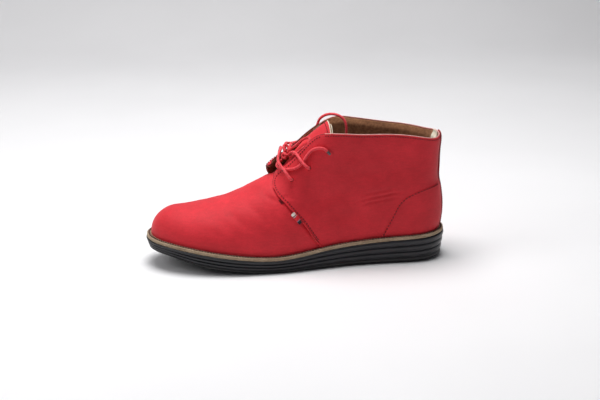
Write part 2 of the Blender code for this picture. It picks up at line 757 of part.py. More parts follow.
NEAR_END = [(-18.6, -1.6, 106.4), (-21.6, -2, 104.8), (-24.2, -4.6, 102.6), (-24, -9, 101), (-21.6, -13.6, 100.8),
            (-17.9, -19.8, 101.6), (-13.1, -25, 102.7), (-6.3, -28.6, 105.6), (-1.6, -29, 110), (3.4, -28.8, 117.2),
            (7.9, -29.4, 122.4), (14.3, -31.8, 125.4), (19.8, -33.6, 125), (23.2, -34.5, 122.4)]
NEAR_TIP = (26.2, -34.9, 119.2)
FAR_END = [(-14.8, 4.4, 113.8), (-14.4, 9.5, 117.6), (-13, 16, 118.8), (-9.8, 24.4, 117), (-4.2, 32.2, 115),
           (3, 35.6, 115.6), (11, 36, 120), (17.8, 36, 126), (22.2, 35.2, 132.2), (23.9, 32.4, 138.2),
           (26.8, 28.6, 142.9),
           (31, 24.2, 146.1), (35.8, 20, 147.5), (40.6, 17, 147.2), (45, 14.5, 145), (47.9, 12.5, 141.6),
           (49.3, 11, 136.6), (49.4, 10, 130.5), (48.8, 9.4, 122), (47.8, 9, 113)]
FAR_TIP = (46.6, 9, 101)
NEAR_LOOP = [(-12.5, -0.6, 115.2), (-8.2, -4.4, 119.4), (-1.4, -6.8, 125.6), (4.4, -9, 130.2), (7.8, -12.6, 131),
             (7.2, -16, 127), (2.4, -14.6, 122), (-3.6, -11, 116), (-10.7, -3.2, 109.5)]
FAR_LOOP = [(-16.4, 1, 115.9), (-16, 4, 119.4), (-12, 5.6, 121), (-8, 4.6, 118.8), (-7.2, 2.6, 115),
            (-10.4, 1.2, 112)]


def tube(name, points, radius, finish, spacing):
    """A tube along a smooth curve through the points, as a polyline with a point about every spacing."""
    route = path(points)
    fine = route(np.linspace(0, 1, 400))
    length = np.linalg.norm(np.diff(fine, axis=0), axis=1).sum()
    count = max(3, round(length / spacing)) + 1
    curve = bpy.data.curves.new(name, "CURVE")
    curve.dimensions = "3D"
    curve.bevel_depth = radius * MM
    curve.bevel_resolution = 2
    curve.use_fill_caps = True
    line = curve.splines.new("POLY")
    line.points.add(count - 1)
    for point, place in zip(line.points, route(np.linspace(0, 1, count))):
        point.co = (*((Vector(place) - ORIGIN) * MM), 1)
    return add_object(name, curve, finish, PART)


def make_laces():
    tube("lace_held", held_route(), LACE, "lace_red", 5.5)
    tube("lace_end_near", NEAR_END, LACE, "lace_red", 6)
    tube("lace_end_far", FAR_END, LACE, "lace_red", 6)
    tube("lace_loop_near", NEAR_LOOP, LACE, "lace_red", 6)
    tube("lace_loop_far", FAR_LOOP, LACE, "lace_red", 5)
    for name, line, tip in (("aglet_near", NEAR_END, NEAR_TIP), ("aglet_far", FAR_END, FAR_TIP)):
        gap = (Vector(tip) - Vector(line[-1])).normalized() * 0.6
        tube(name, [Vector(line[-1]) + gap, (Vector(line[-1]) + Vector(tip)) / 2, tip], LACE + 0.1, "aglet", 5)
    work = bmesh.new()
    bmesh.ops.create_uvsphere(work, u_segments=14, v_segments=8, radius=MM)
    bmesh.ops.scale(work, vec=(3.5, 3.9, 3.2), verts=work.verts)
    mesh = bpy.data.meshes.new("lace_knot")
    work.to_mesh(mesh)
    work.free()
    mesh.shade_smooth()
    knot = add_object("lace_knot", mesh, "lace_red", PART)
    knot.location = (Vector(KNOT) - ORIGIN) * MM


# ---- Side tab: a ribbon folded double, stitched into the lateral vamp seam ----
TAB_LENGTH_SHARE = (0.225, 0.307)


def make_side_tab():
    section = [(0.5, -0.35), (3.6, -0.4), (4.6, 0.1), (4.6, 0.6), (3.6, 1.15), (0.5, 1.15), (0.5, 0.6),
               (3.3, 0.6), (3.6, 0.4), (3.3, 0.2), (0.5, 0.2)]
    rings = []
    for t in np.linspace(*TAB_LENGTH_SHARE, 4):
        edge = front_edges[LATERAL](t)
        step = front_edges[LATERAL](t + 0.01) - edge
        ahead = np.array([-step[1], step[0]]) / np.hypot(*step)
        places = [edge + ahead * d for d, _ in section]
        rings.append([on_form(x, z, LATERAL, lift) for (x, z), (_, lift) in zip(places, section)])
    count = len(section)
    vertices = np.concatenate(rings)
    faces = [tuple(range(count)), tuple(range(3 * count, 4 * count))]
    for level in range(3):
        for i in range(count):
            j = (i + 1) % count
            faces.append((level * count + i, level * count + j, (level + 1) * count + j, (level + 1) * count + i))
    tab = outward_mesh("side_tab", vertices, faces, "tab_ribbon")
    # It flips up about the inner edge of its top layer, where the stitching holds it.
    set_pivot(tab, (rings[0][5] + rings[-1][5]) / 2)


TITLE = "chukka_boot"
PART, CUTTERS = fresh_scene(TITLE)
MATERIALS = {
    "leather_red": material("leather_red", (0.55, 0.03, 0.045), 0.55),
    "lining_brown": material("lining_brown", (0.2, 0.11, 0.05), 0.8),
    "stiffener": material("stiffener", (0.7, 0.66, 0.58), 0.8),
    "collar_foam": material("collar_foam", (0.75, 0.73, 0.68), 0.9),
    "fibre_board": material("fibre_board", (0.5, 0.4, 0.28), 0.85),
    "footbed_cloth": material("footbed_cloth", (0.22, 0.13, 0.07), 0.85),
    "spring_steel": material("spring_steel", (0.5, 0.5, 0.52), 0.3, 1.0),
    "midsole_foam": material("midsole_foam", (0.022, 0.022, 0.026), 0.5),
    "outsole_rubber": material("outsole_rubber", (0.018, 0.018, 0.02), 0.6),
    "welt_tan": material("welt_tan", (0.38, 0.29, 0.2), 0.7),
    "lace_red": material("lace_red", (0.7, 0.06, 0.08), 0.6),
    "aglet": material("aglet", (0.12, 0.1, 0.1), 0.3),
    "eyelet_metal": material("eyelet_metal", (0.3, 0.22, 0.12), 0.4, 1.0),
    "cream_tape": material("cream_tape", (0.75, 0.68, 0.52), 0.8),
    "tab_ribbon": material("tab_ribbon", (0.7, 0.6, 0.5), 0.75),
}


def main():
    make_sole()
    make_vamp()
    make_quarters()
    make_heel()
    make_tongue()
    make_eyelets()
    make_laces()
    make_side_tab()


main()
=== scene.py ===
"""The chukka boot's finished surfaces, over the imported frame.

Lengths are millimetres until world() makes them metres.
"""

import json
import math

import bmesh
import bpy
import numpy as np
from mathutils import Matrix, Vector

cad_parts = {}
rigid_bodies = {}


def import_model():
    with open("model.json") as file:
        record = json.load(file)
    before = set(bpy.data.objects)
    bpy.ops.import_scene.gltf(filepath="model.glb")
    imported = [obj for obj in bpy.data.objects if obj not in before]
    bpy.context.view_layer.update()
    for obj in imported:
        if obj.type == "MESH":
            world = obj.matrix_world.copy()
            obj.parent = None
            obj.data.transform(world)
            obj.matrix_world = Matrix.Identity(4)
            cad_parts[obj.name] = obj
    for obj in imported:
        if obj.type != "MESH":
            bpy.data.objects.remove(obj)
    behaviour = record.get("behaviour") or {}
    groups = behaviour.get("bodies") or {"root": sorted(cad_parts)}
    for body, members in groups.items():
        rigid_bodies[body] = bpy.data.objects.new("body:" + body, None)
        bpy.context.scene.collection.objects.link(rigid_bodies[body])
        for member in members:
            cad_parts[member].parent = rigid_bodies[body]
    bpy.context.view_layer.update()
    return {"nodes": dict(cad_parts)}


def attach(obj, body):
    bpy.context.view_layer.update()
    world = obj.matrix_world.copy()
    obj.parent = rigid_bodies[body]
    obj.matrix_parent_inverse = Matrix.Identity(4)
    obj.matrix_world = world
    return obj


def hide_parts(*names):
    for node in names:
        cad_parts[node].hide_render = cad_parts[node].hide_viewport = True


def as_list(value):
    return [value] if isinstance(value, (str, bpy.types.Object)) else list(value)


for old in list(bpy.data.objects):
    bpy.data.objects.remove(old, do_unlink=True)
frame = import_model()


MM = 0.001

# ---- driving dimensions of the upper ----
TOE_TIP = -154.0
NOSE_LENGTH = 26.0
NOSE_POWER = 2.1
BALL_X = -54.0
BALL_HALF = 48.3
TOE_POWER = 2.2
TOE_TURN = 5.0
SECTION_POWER = 2.2
HEEL_RADIUS = 38.0
SECTION_RISE = 60.0
LEG_HALF = 32.4
THROAT_X = -24.0
THROAT_Z = 95.2
FRONT_SLOPE = 1.53

# ---- layers, as distances outwards from the form ----
LEATHER = 1.25
UNDERLAP = 7.0
LINING_OUT = -4.4
LINING = 0.9
FLAP_LIFT = 9.0

# ---- sole ----
SOLE_PROUD = 4.4
WELT_TOP = -0.4
WELT_BOTTOM = -3.5
SOLE_TOP = -3.8
SKIRT = -3.4
SOLE_RIDGES = 4
OUTSOLE_SHARE = 0.22

LATERAL = -1
MEDIAL = 1
SIDES = ((LATERAL, "lateral"), (MEDIAL, "medial"))
# The bottom centre of the boot's box, where the finished part has its origin.
ORIGIN = np.array([-3.75, 0.0, 0.0])


def spline(points):
    """A natural cubic curve through (x, y) points, going on straight outside them."""
    xs = np.array([p[0] for p in points], float)
    ys = np.array([p[1] for p in points], float)
    gaps = np.diff(xs)
    slopes = np.diff(ys) / gaps
    size = len(xs)
    matrix = np.eye(size)
    right = np.zeros(size)
    for i in range(1, size - 1):
        matrix[i, i - 1 : i + 2] = gaps[i - 1], 2 * (gaps[i - 1] + gaps[i]), gaps[i]
        right[i] = 6 * (slopes[i] - slopes[i - 1])
    bend = np.linalg.solve(matrix, right)

    def curve(x):
        x = np.asarray(x, float)
        inside = np.clip(x, xs[0], xs[-1])
        i = np.clip(np.searchsorted(xs, inside, side="right") - 1, 0, size - 2)
        a = (xs[i + 1] - inside) / gaps[i]
        b = 1 - a
        y = a * ys[i] + b * ys[i + 1]
        y = y + ((a**3 - a) * bend[i] + (b**3 - b) * bend[i + 1]) * gaps[i] ** 2 / 6
        start = slopes[0] - gaps[0] * bend[1] / 6
        end = slopes[-1] + gaps[-1] * bend[-2] / 6
        y = y + np.where(x < xs[0], (x - xs[0]) * start, 0)
        return y + np.where(x > xs[-1], (x - xs[-1]) * end, 0)

    return curve


def path(points):
    """A smooth curve through 2D or 3D points, by its share of the length from 0 to 1."""
    points = np.array(points, float)
    steps = np.linalg.norm(np.diff(points, axis=0), axis=1)
    along = np.append(0, np.cumsum(steps)) / steps.sum()
    axes = [spline(list(zip(along, points[:, k]))) for k in range(points.shape[1])]
    return lambda t: np.stack([axis(t) for axis in axes], axis=-1)


def ease(value, start, end):
    """0 at start, 1 at end, level at both."""
    t = np.clip((value - start) / (end - start), 0, 1)
    return t * t * (3 - 2 * t)


def soft_max(a, b, blend):
    return (a + b + np.sqrt((a - b) ** 2 + blend**2)) / 2


def soft_min(a, b, blend):
    return (a + b - np.sqrt((a - b) ** 2 + blend**2)) / 2


# ---- The form ----
# Heights of the feather line, where the upper meets the welt, and of the vamp's ridge.
feather = spline([(-152, 31.8), (-132, 30), (-106, 26.2), (-82, 22.6), (-58, 19.5), (-36, 17.9),
                  (-12, 19), (15, 22.8), (45, 26), (80, 28.5), (115, 30), (148, 31.5)])
vamp_ridge = spline([(-155, 57.2), (-130, 59.2), (-104, 62.6), (-78, 68.4), (-54, 78.2), (-40, 85.2),
                     (-28, 91.2), (0, 104)])
# Half-widths of the foot at the feather line, behind the ball.
lateral_half = spline([(BALL_X, BALL_HALF), (-30, 47.3), (0, 43), (20, 39), (40, 35.6), (60, 33.6),
                       (80, 32.6), (110, 32.2), (150, 32.2)])
medial_half = spline([(BALL_X, BALL_HALF), (-30, 46.3), (0, 39.5), (20, 35.5), (40, 33.4), (60, 32.8),
                      (80, 32.6), (110, 32.4), (150, 32.4)])
# X of the heel's back seam by height, and height of the topline by X.
heel_back = spline([(22, 145), (28, 146.2), (34, 147), (45, 148.2), (56, 148.3), (67, 147.2), (77, 145.4),
                    (83, 144), (94, 143.7), (116, 144.2), (126, 144.8), (133, 144)])
lateral_top = spline([(15, 138.4), (28, 139.3), (42, 139), (56, 138), (76, 137.6), (97, 136.6), (117, 133.6),
                      (131, 130.4), (139, 129.6), (146, 131.4)])
medial_top = spline([(15, 128), (29, 138), (37, 141), (46, 141.9), (57, 140.7), (74, 138), (89, 135.6), (110, 132.6),
                     (129, 130), (139, 129.6), (146, 131.4)])


def nose(x):
    ahead = np.clip((TOE_TIP + NOSE_LENGTH - x) / NOSE_LENGTH, 0, 1)
    return (1 - ahead**NOSE_POWER) ** (1 / NOSE_POWER)


def ridge(x):
    """Height of the form's front centre line: over the vamp, then steeply up the front of the leg."""
    leg = THROAT_Z + FRONT_SLOPE * (x - THROAT_X)
    crest = soft_max(vamp_ridge(x), leg, 4.0)
    return feather(x) + (crest - feather(x)) * nose(x)


def widths(x, z):
    """(centre line's Y, half-width) of the form where it is widest, at this X and height."""
    ahead = np.clip((BALL_X - x) / (BALL_X - TOE_TIP), 0, 1)
    toe = (1 - ahead**TOE_POWER) ** (1 / TOE_POWER)
    leg = ease(x, -60, 15) * ease(z, 32, 88)
    flare = 1.2 * ease(z, 112, 140)
    lateral = lateral_half(np.maximum(x, BALL_X)) * (1 - leg) + (LEG_HALF + flare) * leg
    medial = medial_half(np.maximum(x, BALL_X)) * (1 - leg) + (LEG_HALF + flare) * leg
    tuck = 1.3 * (1 - ease(z - feather(x), -4, 12)) * toe
    centre = (medial - lateral) / 2 + TOE_TURN * ahead**2
    return centre, np.maximum((medial + lateral) / 2 * toe - tuck, 0.02)


def closing(x, z):
    """How far the section has closed towards the front ridge and the heel seam: 0 open, 1 closed."""
    height = ridge(x) - feather(x)
    rise = np.maximum(soft_min(height, SECTION_RISE, 4.0), 0.4)
    front = np.clip(1 - (ridge(x) - z) / rise, 0, 1.5)
    back = np.clip(1 - (heel_back(z) - x) / HEEL_RADIUS, 0, 1.5)
    return front**SECTION_POWER + back**SECTION_POWER


def form_y(x, z, side):
    centre, half = widths(x, z)
    return centre + side * half * np.clip(1 - closing(x, z), 0, 1) ** (1 / SECTION_POWER)


def form_value(x, y, z):
    centre, half = widths(x, z)
    return np.abs((y - centre) / half) ** SECTION_POWER + closing(x, z)


def normals(x, y, z):
    step = 0.04
    slope = np.stack([
        form_value(x + step, y, z) - form_value(x - step, y, z),
        form_value(x, y + step, z) - form_value(x, y - step, z),
        form_value(x, y, z + step) - form_value(x, y, z - step),
    ], axis=-1)
    return slope / np.maximum(np.linalg.norm(slope, axis=-1, keepdims=True), 1e-12)


def on_form(x, z, side, out=0.0):
    """Points of the form at side-view places (x, z), moved out along the normals."""
    x, z = np.broadcast_arrays(np.asarray(x, float), np.asarray(z, float))
    y = form_y(x, z, side)
    return np.stack([x, y, z], axis=-1) + normals(x, y, z) * np.asarray(out, float)[..., None]


# ---- The quarters' outline, in the side view ----
# From the welt up the vamp seam, round the rounded lower corner, and up the lace facing to the topline.
SEAM = [(19.5, 23.0), (13.5, 29.5), (9, 35.5), (1.8, 46.7), (-8, 59.1), (-17.5, 69.9), (-24.8, 77.1),
        (-29, 82.6), (-29.6, 88), (-26.4, 94), (-19.6, 101), (-12, 109), (-4, 118), (3.5, 126.6),
        (9.5, 132.8), (15, 136.8), (21, 138.8), (28, 139.3)]
# On the medial side the facing lies further open at the top.
MEDIAL_FACING = [(-11.5, 111), (-2, 119.3), (9, 127), (20, 133.6), (29, 138)]
front_edges = {LATERAL: path(SEAM), MEDIAL: path(SEAM[:11] + MEDIAL_FACING)}


def top_height(x, side):
    return lateral_top(x) if side == LATERAL else medial_top(x)


def behind_seam(x, z):
    """Distance in the side view behind the vamp seam: negative on the vamp's side."""
    t = np.linspace(0, 0.56, 180)
    edge = front_edges[LATERAL](t)
    flat = np.stack([np.ravel(x), np.ravel(z)], axis=-1)
    gap = flat[:, None, :] - edge[None]
    nearest = np.argmin((gap**2).sum(axis=-1), axis=1)
    tangent = np.gradient(edge, axis=0)[nearest]
    offset = gap[np.arange(len(flat)), nearest]
    sign = np.sign(tangent[:, 1] * offset[:, 0] - tangent[:, 0] * offset[:, 1])
    return (sign * np.linalg.norm(offset, axis=-1)).reshape(np.shape(x))


# ---- Mesh helpers ----
def world(points):
    return (np.asarray(points, float) - ORIGIN) * MM


def new_object(name, data):
    obj = bpy.data.objects.new(name, data)
    bpy.context.scene.collection.objects.link(obj)
    return obj


def unit(vectors):
    return vectors / np.linalg.norm(vectors, axis=-1, keepdims=True)


def distances(line):
    """Distance along a line of points, at each point."""
    return np.concatenate([[0], np.cumsum(np.linalg.norm(np.diff(line, axis=0), axis=1))])


def build(name, vertices, faces, finish, angle=50):
    """A mesh object from points in millimetres, its doubles merged and its faces turned outwards."""
    mesh = bpy.data.meshes.new(name)
    mesh.from_pydata(world(vertices).tolist(), [],
                     [tuple(int(i) for i in face) for face in faces])
    work = bmesh.new()
    work.from_mesh(mesh)
    bmesh.ops.remove_doubles(work, verts=work.verts, dist=2e-6)
    bmesh.ops.dissolve_degenerate(work, edges=work.edges, dist=1e-7)
    bmesh.ops.recalc_face_normals(work, faces=work.faces)
    work.to_mesh(mesh)
    work.free()
    mesh.shade_smooth()
    if angle:
        mesh.set_sharp_from_angle(angle=math.radians(angle))
    obj = new_object(name, mesh)
    obj.data.materials.append(finish)
    return obj


def strip(levels, count, first=0, around=True):
    """Quads between successive rings of points; around joins each ring's ends."""
    faces = []
    for level in range(levels - 1):
        for i in range(count if around else count - 1):
            j = (i + 1) % count
            a = first + level * count
            faces.append((a + i, a + j, a + count + j, a + count + i))
    return faces


def surface_normals(points):
    along = np.gradient(points, axis=0)
    across = np.gradient(points, axis=1)
    normal = np.cross(along, across)
    return normal / np.maximum(np.linalg.norm(normal, axis=-1, keepdims=True), 1e-9)


EDGE_ROUND = 0.3


def panel(name, points, thickness, finish, inside):
    """A sheet of leather or cloth, from a grid of points on its outer side.

    Its edges are thinned by EDGE_ROUND of the thickness on both sides. inside is a point that
    the outer side faces away from.
    """
    rows, columns = points.shape[:2]
    normal = surface_normals(points)
    middle = (rows // 2, columns // 2)
    if np.dot(normal[middle], points[middle] - np.asarray(inside, float)) < 0:
        normal = -normal
    ends = np.zeros((rows, columns))
    ends[0] = ends[-1] = 1
    ends[:, 0] = ends[:, -1] = 1
    outer = points - normal * (ends * thickness * EDGE_ROUND)[..., None]
    inner = points - normal * (thickness * (1 - ends * EDGE_ROUND))[..., None]
    count = rows * columns
    faces = strip(rows, columns, around=False)
    faces += [face[::-1] for face in strip(rows, columns, count, around=False)]
    rim = list(range(columns)) + [r * columns + columns - 1 for r in range(1, rows)]
    rim += [(rows - 1) * columns + c for c in range(columns - 2, -1, -1)]
    rim += [r * columns for r in range(rows - 2, 0, -1)]
    for a, b in zip(rim, rim[1:] + rim[:1]):
        faces.append((b, a, a + count, b + count))
    both = np.concatenate([outer.reshape(-1, 3), inner.reshape(-1, 3)])
    return build(name, both, faces, finish, 0)


def frames(route):
    """Tangents and two cross directions along a line of points, turning as little as they can."""
    tangent = unit(np.gradient(route, axis=0))
    side = np.cross(tangent[0], (0.3, 0.5, 0.8))
    sides = []
    for t in tangent:
        side = side - t * np.dot(side, t)
        side /= np.linalg.norm(side)
        sides.append(side.copy())
    sides = np.array(sides)
    return tangent, sides, np.cross(tangent, sides)


def between(wanted, along, values):
    """Rows of values interpolated at the wanted distances."""
    return np.stack([np.interp(wanted, along, values[:, k]) for k in range(3)], axis=-1)


def even(points, spacing):
    """Evenly spaced points along the smooth curve through the given ones."""
    route = path(points)
    fine = route(np.linspace(0, 1, 1200))
    along = distances(fine)
    count = max(4, round(along[-1] / spacing)) + 1
    wanted = np.linspace(0, along[-1], count)
    return between(wanted, along, fine), along[-1]


PLAIT_LENGTH = 3.0


def tube_data(route, radius, sides=14, braid=0.0):
    """Vertices and faces of a round tube with flat ends; braid raises a plaited pattern on it."""
    route = np.asarray(route, float)
    _, u, v = frames(route)
    along = distances(route)
    radius = np.broadcast_to(np.asarray(radius, float), len(route))
    turn = np.arange(sides) * 2 * math.pi / sides
    phase = 2 * math.pi * along[:, None] / PLAIT_LENGTH
    plait = 1 + braid * np.cos(2 * turn + phase) * np.cos(2 * turn - phase)
    reach = radius[:, None] * plait
    points = (route[:, None] + u[:, None] * (np.cos(turn) * reach)[..., None]
              + v[:, None] * (np.sin(turn) * reach)[..., None])
    vertices = points.reshape(-1, 3)
    faces = strip(len(route), sides)
    faces.append(tuple(range(sides))[::-1])
    faces.append(tuple((len(route) - 1) * sides + i for i in range(sides)))
    return vertices, faces


def cord_edge(name, line, radius, sides, finish):
    """A thin round edging along points of a seam or rim."""
    return build(name, *tube_data(line, radius, sides), finish, 0)


def join(parts):
    """(vertices, faces) of several (vertices, faces) as one."""
    vertices = []
    faces = []
    start = 0
    for points, loops in parts:
        vertices.append(np.asarray(points, float))
        faces += [tuple(i + start for i in loop) for loop in loops]
        start += len(points)
    return np.concatenate(vertices), faces


STITCH_SINK = 0.05
STITCH_ARCH = np.array([-0.7, 0.1, 0.45, 0.45, 0.1, -0.7])
STITCH_THICK = np.array([0.45, 0.9, 1, 1, 0.9, 0.45])


def stitches(name, line, outward, pitch, finish, width=0.48, share=0.72):
    """A row of sewn stitches: short rounded threads that dip into the material at both ends."""
    line = np.asarray(line, float)
    outward = np.asarray(outward, float)
    along = distances(line)
    count = max(1, int(along[-1] / pitch))
    parts = []
    for k in range(count):
        s = (k + 0.5) * along[-1] / count + np.linspace(-0.5, 0.5, 6) * pitch * share
        rise = between(s, along, outward) * (STITCH_ARCH * width - STITCH_SINK)[:, None]
        parts.append(tube_data(between(s, along, line) + rise, STITCH_THICK * width, 6))
    vertices, faces = join(parts)
    return build(name, vertices, faces, finish, 0)


def place(obj, body, slot, *nodes):
    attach(obj, body)
    if nodes:
        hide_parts(*nodes)
    return obj


def place_red(obj, *nodes):
    return place(obj, "root", "leather_red", *nodes)


# ---- Materials ----
def shader(name, roughness, metallic=0.0, sheen=0.0, specular=0.5, tint=(1, 1, 1)):
    made = bpy.data.materials.new(name)
    made.use_nodes = True
    node = made.node_tree.nodes["Principled BSDF"]
    for socket, value in (("Roughness", roughness), ("Metallic", metallic),
                          ("Sheen Weight", sheen), ("Sheen Roughness", 0.45),
                          ("Sheen Tint", (*tint, 1)), ("Specular IOR Level", specular)):
        node.inputs[socket].default_value = value
    return made, made.node_tree, node


def add(tree, kind, **values):
    node = tree.nodes.new(kind)
    for key, value in values.items():
        if hasattr(node, key):
            setattr(node, key, value)
        else:
            node.inputs[key].default_value = value
    return node


def noise(tree, coordinates, scale, detail=3.0, roughness=0.55):
    node = add(tree, "ShaderNodeTexNoise", Scale=scale, Detail=detail, Roughness=roughness)
    tree.links.new(coordinates, node.inputs["Vector"])
    return node.outputs["Fac"]


def ramp(tree, value, stops):
    node = tree.nodes.new("ShaderNodeValToRGB")
    elements = node.color_ramp.elements
    while len(elements) < len(stops):
        elements.new(0.5)
    for element, (at, colour) in zip(elements, stops):
        element.position = at
        element.color = (*colour, 1)
    tree.links.new(value, node.inputs["Fac"])
    return node.outputs["Color"]


def bump(tree, layers):
    """Stacked Bump nodes: (height, distance in metres, strength)."""
    before = None
    for height, distance, strength in layers:
        node = add(tree, "ShaderNodeBump", Distance=distance, Strength=strength)
        tree.links.new(height, node.inputs["Height"])
        if before:
            tree.links.new(before, node.inputs["Normal"])
        before = node.outputs["Normal"]
    return before


def object_coordinates(tree):
    return tree.nodes.new("ShaderNodeTexCoord").outputs["Object"]


def cover(tree, node, colour, layers):
    """Links a colour and stacked bumps to the shader."""
    tree.links.new(colour, node.inputs["Base Color"])
    tree.links.new(bump(tree, layers), node.inputs["Normal"])


def vary_roughness(tree, node, amount, low, high):
    rough = add(tree, "ShaderNodeMapRange")
    rough.inputs["To Min"].default_value = low
    rough.inputs["To Max"].default_value = high
    tree.links.new(amount, rough.inputs["Value"])
    tree.links.new(rough.outputs["Result"], node.inputs["Roughness"])


def multiply(tree, a, b):
    node = add(tree, "ShaderNodeMath", operation="MULTIPLY")
    tree.links.new(a, node.inputs[0])
    tree.links.new(b, node.inputs[1])
    return node.outputs[0]


def nubuck(name, light, dark, sheen=0.25):
    """Buffed leather: fine nap, pores and cloudy, faintly streaked shading."""
    made, tree, node = shader(name, 0.7, sheen=sheen, specular=0.32, tint=(1, 0.55, 0.55))
    where = object_coordinates(tree)
    cloud = noise(tree, where, 28, 5, 0.6)
    nap = noise(tree, where, 950, 3, 0.7)
    pores = add(tree, "ShaderNodeTexVoronoi", Scale=1500.0, feature="DISTANCE_TO_EDGE")
    tree.links.new(where, pores.inputs["Vector"])
    colour = ramp(tree, cloud, [(0.34, dark), (0.66, light)])
    drawn = add(tree, "ShaderNodeMapping")
    drawn.inputs["Scale"].default_value = (1, 1, 3.2)
    tree.links.new(where, drawn.inputs["Vector"])
    streak = noise(tree, drawn.outputs["Vector"], 150, 7, 0.72)
    brushed = multiply(tree, nap, streak)
    speck = ramp(tree, brushed, [(0.12, (0.86, 0.82, 0.82)), (0.38, (1.06, 1.1, 1.1))])
    mixed = add(tree, "ShaderNodeMix", data_type="RGBA", blend_type="MULTIPLY")
    mixed.inputs[0].default_value = 1.0
    tree.links.new(colour, mixed.inputs[6])
    tree.links.new(speck, mixed.inputs[7])
    vary_roughness(tree, node, cloud, 0.56, 0.8)
    soft = noise(tree, where, 90, 4, 0.6)
    cover(tree, node, mixed.outputs[2], [(soft, 0.0006, 0.35),
                                         (pores.outputs["Distance"], 0.00012, 0.5),
                                         (brushed, 0.00022, 0.6)])
    return made


def suede(name, light, dark, scale=420):
    """Rough fibres over cloudy shading, for linings, felt and board."""
    made, tree, node = shader(name, 0.95, sheen=0.3, specular=0.15, tint=(1, 0.85, 0.7))
    where = object_coordinates(tree)
    cloud = noise(tree, where, 45, 6, 0.65)
    fibre = noise(tree, where, scale, 4, 0.75)
    mixed = multiply(tree, cloud, fibre)
    cover(tree, node, ramp(tree, mixed, [(0.16, dark), (0.36, light)]),
          [(cloud, 0.0006, 0.4), (fibre, 0.0003, 0.7)])
    return made


def cloth(name, light, dark, threads=1600, roughness=0.85):
    """A plain weave: two crossed sets of threads over a slightly uneven colour."""
    made, tree, node = shader(name, roughness, sheen=0.2, specular=0.25)
    where = object_coordinates(tree)
    waves = []
    for direction in ("X", "Z"):
        wave = add(tree, "ShaderNodeTexWave", Scale=threads / 6.3, Distortion=0.6, Detail=1.0)
        wave.bands_direction = direction
        tree.links.new(where, wave.inputs["Vector"])
        waves.append(wave.outputs["Fac"])
    weave = multiply(tree, *waves)
    uneven = noise(tree, where, 300, 3, 0.6)
    cover(tree, node, ramp(tree, uneven, [(0.35, dark), (0.65, light)]),
          [(weave, 0.0002, 0.5), (uneven, 0.0001, 0.3)])
    return made


def moulded(name, light, dark, roughness, grain=700.0, depth=0.0001):
    """Moulded foam or rubber: a fine cast grain with dusty patches."""
    made, tree, node = shader(name, roughness, specular=0.5)
    where = object_coordinates(tree)
    cloud = noise(tree, where, 35, 5, 0.6)
    fine = noise(tree, where, grain, 3, 0.6)
    vary_roughness(tree, node, cloud, roughness - 0.08, roughness + 0.1)
    cover(tree, node, ramp(tree, cloud, [(0.35, dark), (0.7, light)]), [(fine, depth, 0.5)])
    return made


def metal(name, light, dark, roughness):
    made, tree, node = shader(name, roughness, metallic=1.0)
    where = object_coordinates(tree)
    cloud = noise(tree, where, 400, 4, 0.6)
    cover(tree, node, ramp(tree, cloud, [(0.35, dark), (0.65, light)]), [(cloud, 0.00004, 0.4)])
    return made


RED = nubuck("red_nubuck", (0.76, 0.027, 0.042), (0.62, 0.017, 0.028), 0.1)
STRIP_RED = nubuck("strip_nubuck", (0.4, 0.012, 0.02), (0.3, 0.008, 0.014), 0.05)
CUT_EDGE = nubuck("cut_edge", (0.2, 0.006, 0.012), (0.13, 0.004, 0.008), 0.0)
SUEDE = suede("lining_suede", (0.36, 0.165, 0.08), (0.16, 0.066, 0.032))
FOOTBED = suede("footbed_pigskin", (0.17, 0.09, 0.045), (0.08, 0.04, 0.02), 800)
# Painted highlight: the rolled red topline edge is given a pale pink that stands for the light along its rim.
EDGE_HIGHLIGHT_PINK = cloth("topline_edge_painted_highlight", (0.8, 0.42, 0.38), (0.66, 0.3, 0.28))
# Partly painted shade: the seam thread is darkened below its own red so that the stitch rows also stand for the
# shaded needle holes.
THREAD = cloth("red_thread_painted_shade", (0.2, 0.007, 0.013), (0.12, 0.004, 0.008))
# Partly painted shade: the welt stitching is dark brown, darkened to stand also for the shaded crease between the
# upper and the welt.
WELT_THREAD_CREASE_SHADE = cloth("welt_thread_painted_shade", (0.13, 0.06, 0.045), (0.07, 0.03, 0.022))
LACE_RED = cloth("lace_weave", (0.88, 0.075, 0.095), (0.7, 0.035, 0.05), 2600, 0.5)
CREAM = cloth("cream_tape", (0.8, 0.74, 0.6), (0.66, 0.58, 0.44))
MIDSOLE = moulded("midsole_foam", (0.0135, 0.013, 0.0175), (0.0075, 0.0075, 0.01), 0.34)
OUTSOLE = moulded("outsole_rubber", (0.014, 0.0135, 0.016), (0.008, 0.008, 0.0095), 0.45, 500.0, 0.00015)
WELT = suede("welt_edge", (0.47, 0.36, 0.25), (0.27, 0.19, 0.12), 600)
BRASS = metal("antiqued_eyelet", (0.3, 0.2, 0.1), (0.12, 0.075, 0.04), 0.38)
STEEL = metal("spring_steel", (0.5, 0.5, 0.52), (0.36, 0.36, 0.38), 0.3)
AGLET = moulded("aglet_film", (0.16, 0.12, 0.12), (0.06, 0.045, 0.05), 0.22)
FELT = suede("stiffener_felt", (0.62, 0.57, 0.48), (0.45, 0.4, 0.32))
FOAM = moulded("collar_foam", (0.7, 0.68, 0.6), (0.55, 0.52, 0.45), 0.85, 900.0, 0.0003)
BOARD = suede("fibre_board", (0.45, 0.35, 0.23), (0.3, 0.22, 0.14))
TAB_BANDS = [
    cloth("tab_cream", (0.95, 0.91, 0.84), (0.86, 0.8, 0.72)),
    cloth("tab_crimson", (0.3, 0.01, 0.02), (0.2, 0.006, 0.012)),
    cloth("tab_pale", (0.7, 0.6, 0.6), (0.58, 0.48, 0.48)),
    cloth("tab_red", (0.85, 0.035, 0.05), (0.7, 0.02, 0.035)),
    cloth("tab_mauve", (0.36, 0.2, 0.27), (0.26, 0.14, 0.19)),
    cloth("tab_charcoal", (0.03, 0.028, 0.034), (0.018, 0.017, 0.02)),
]


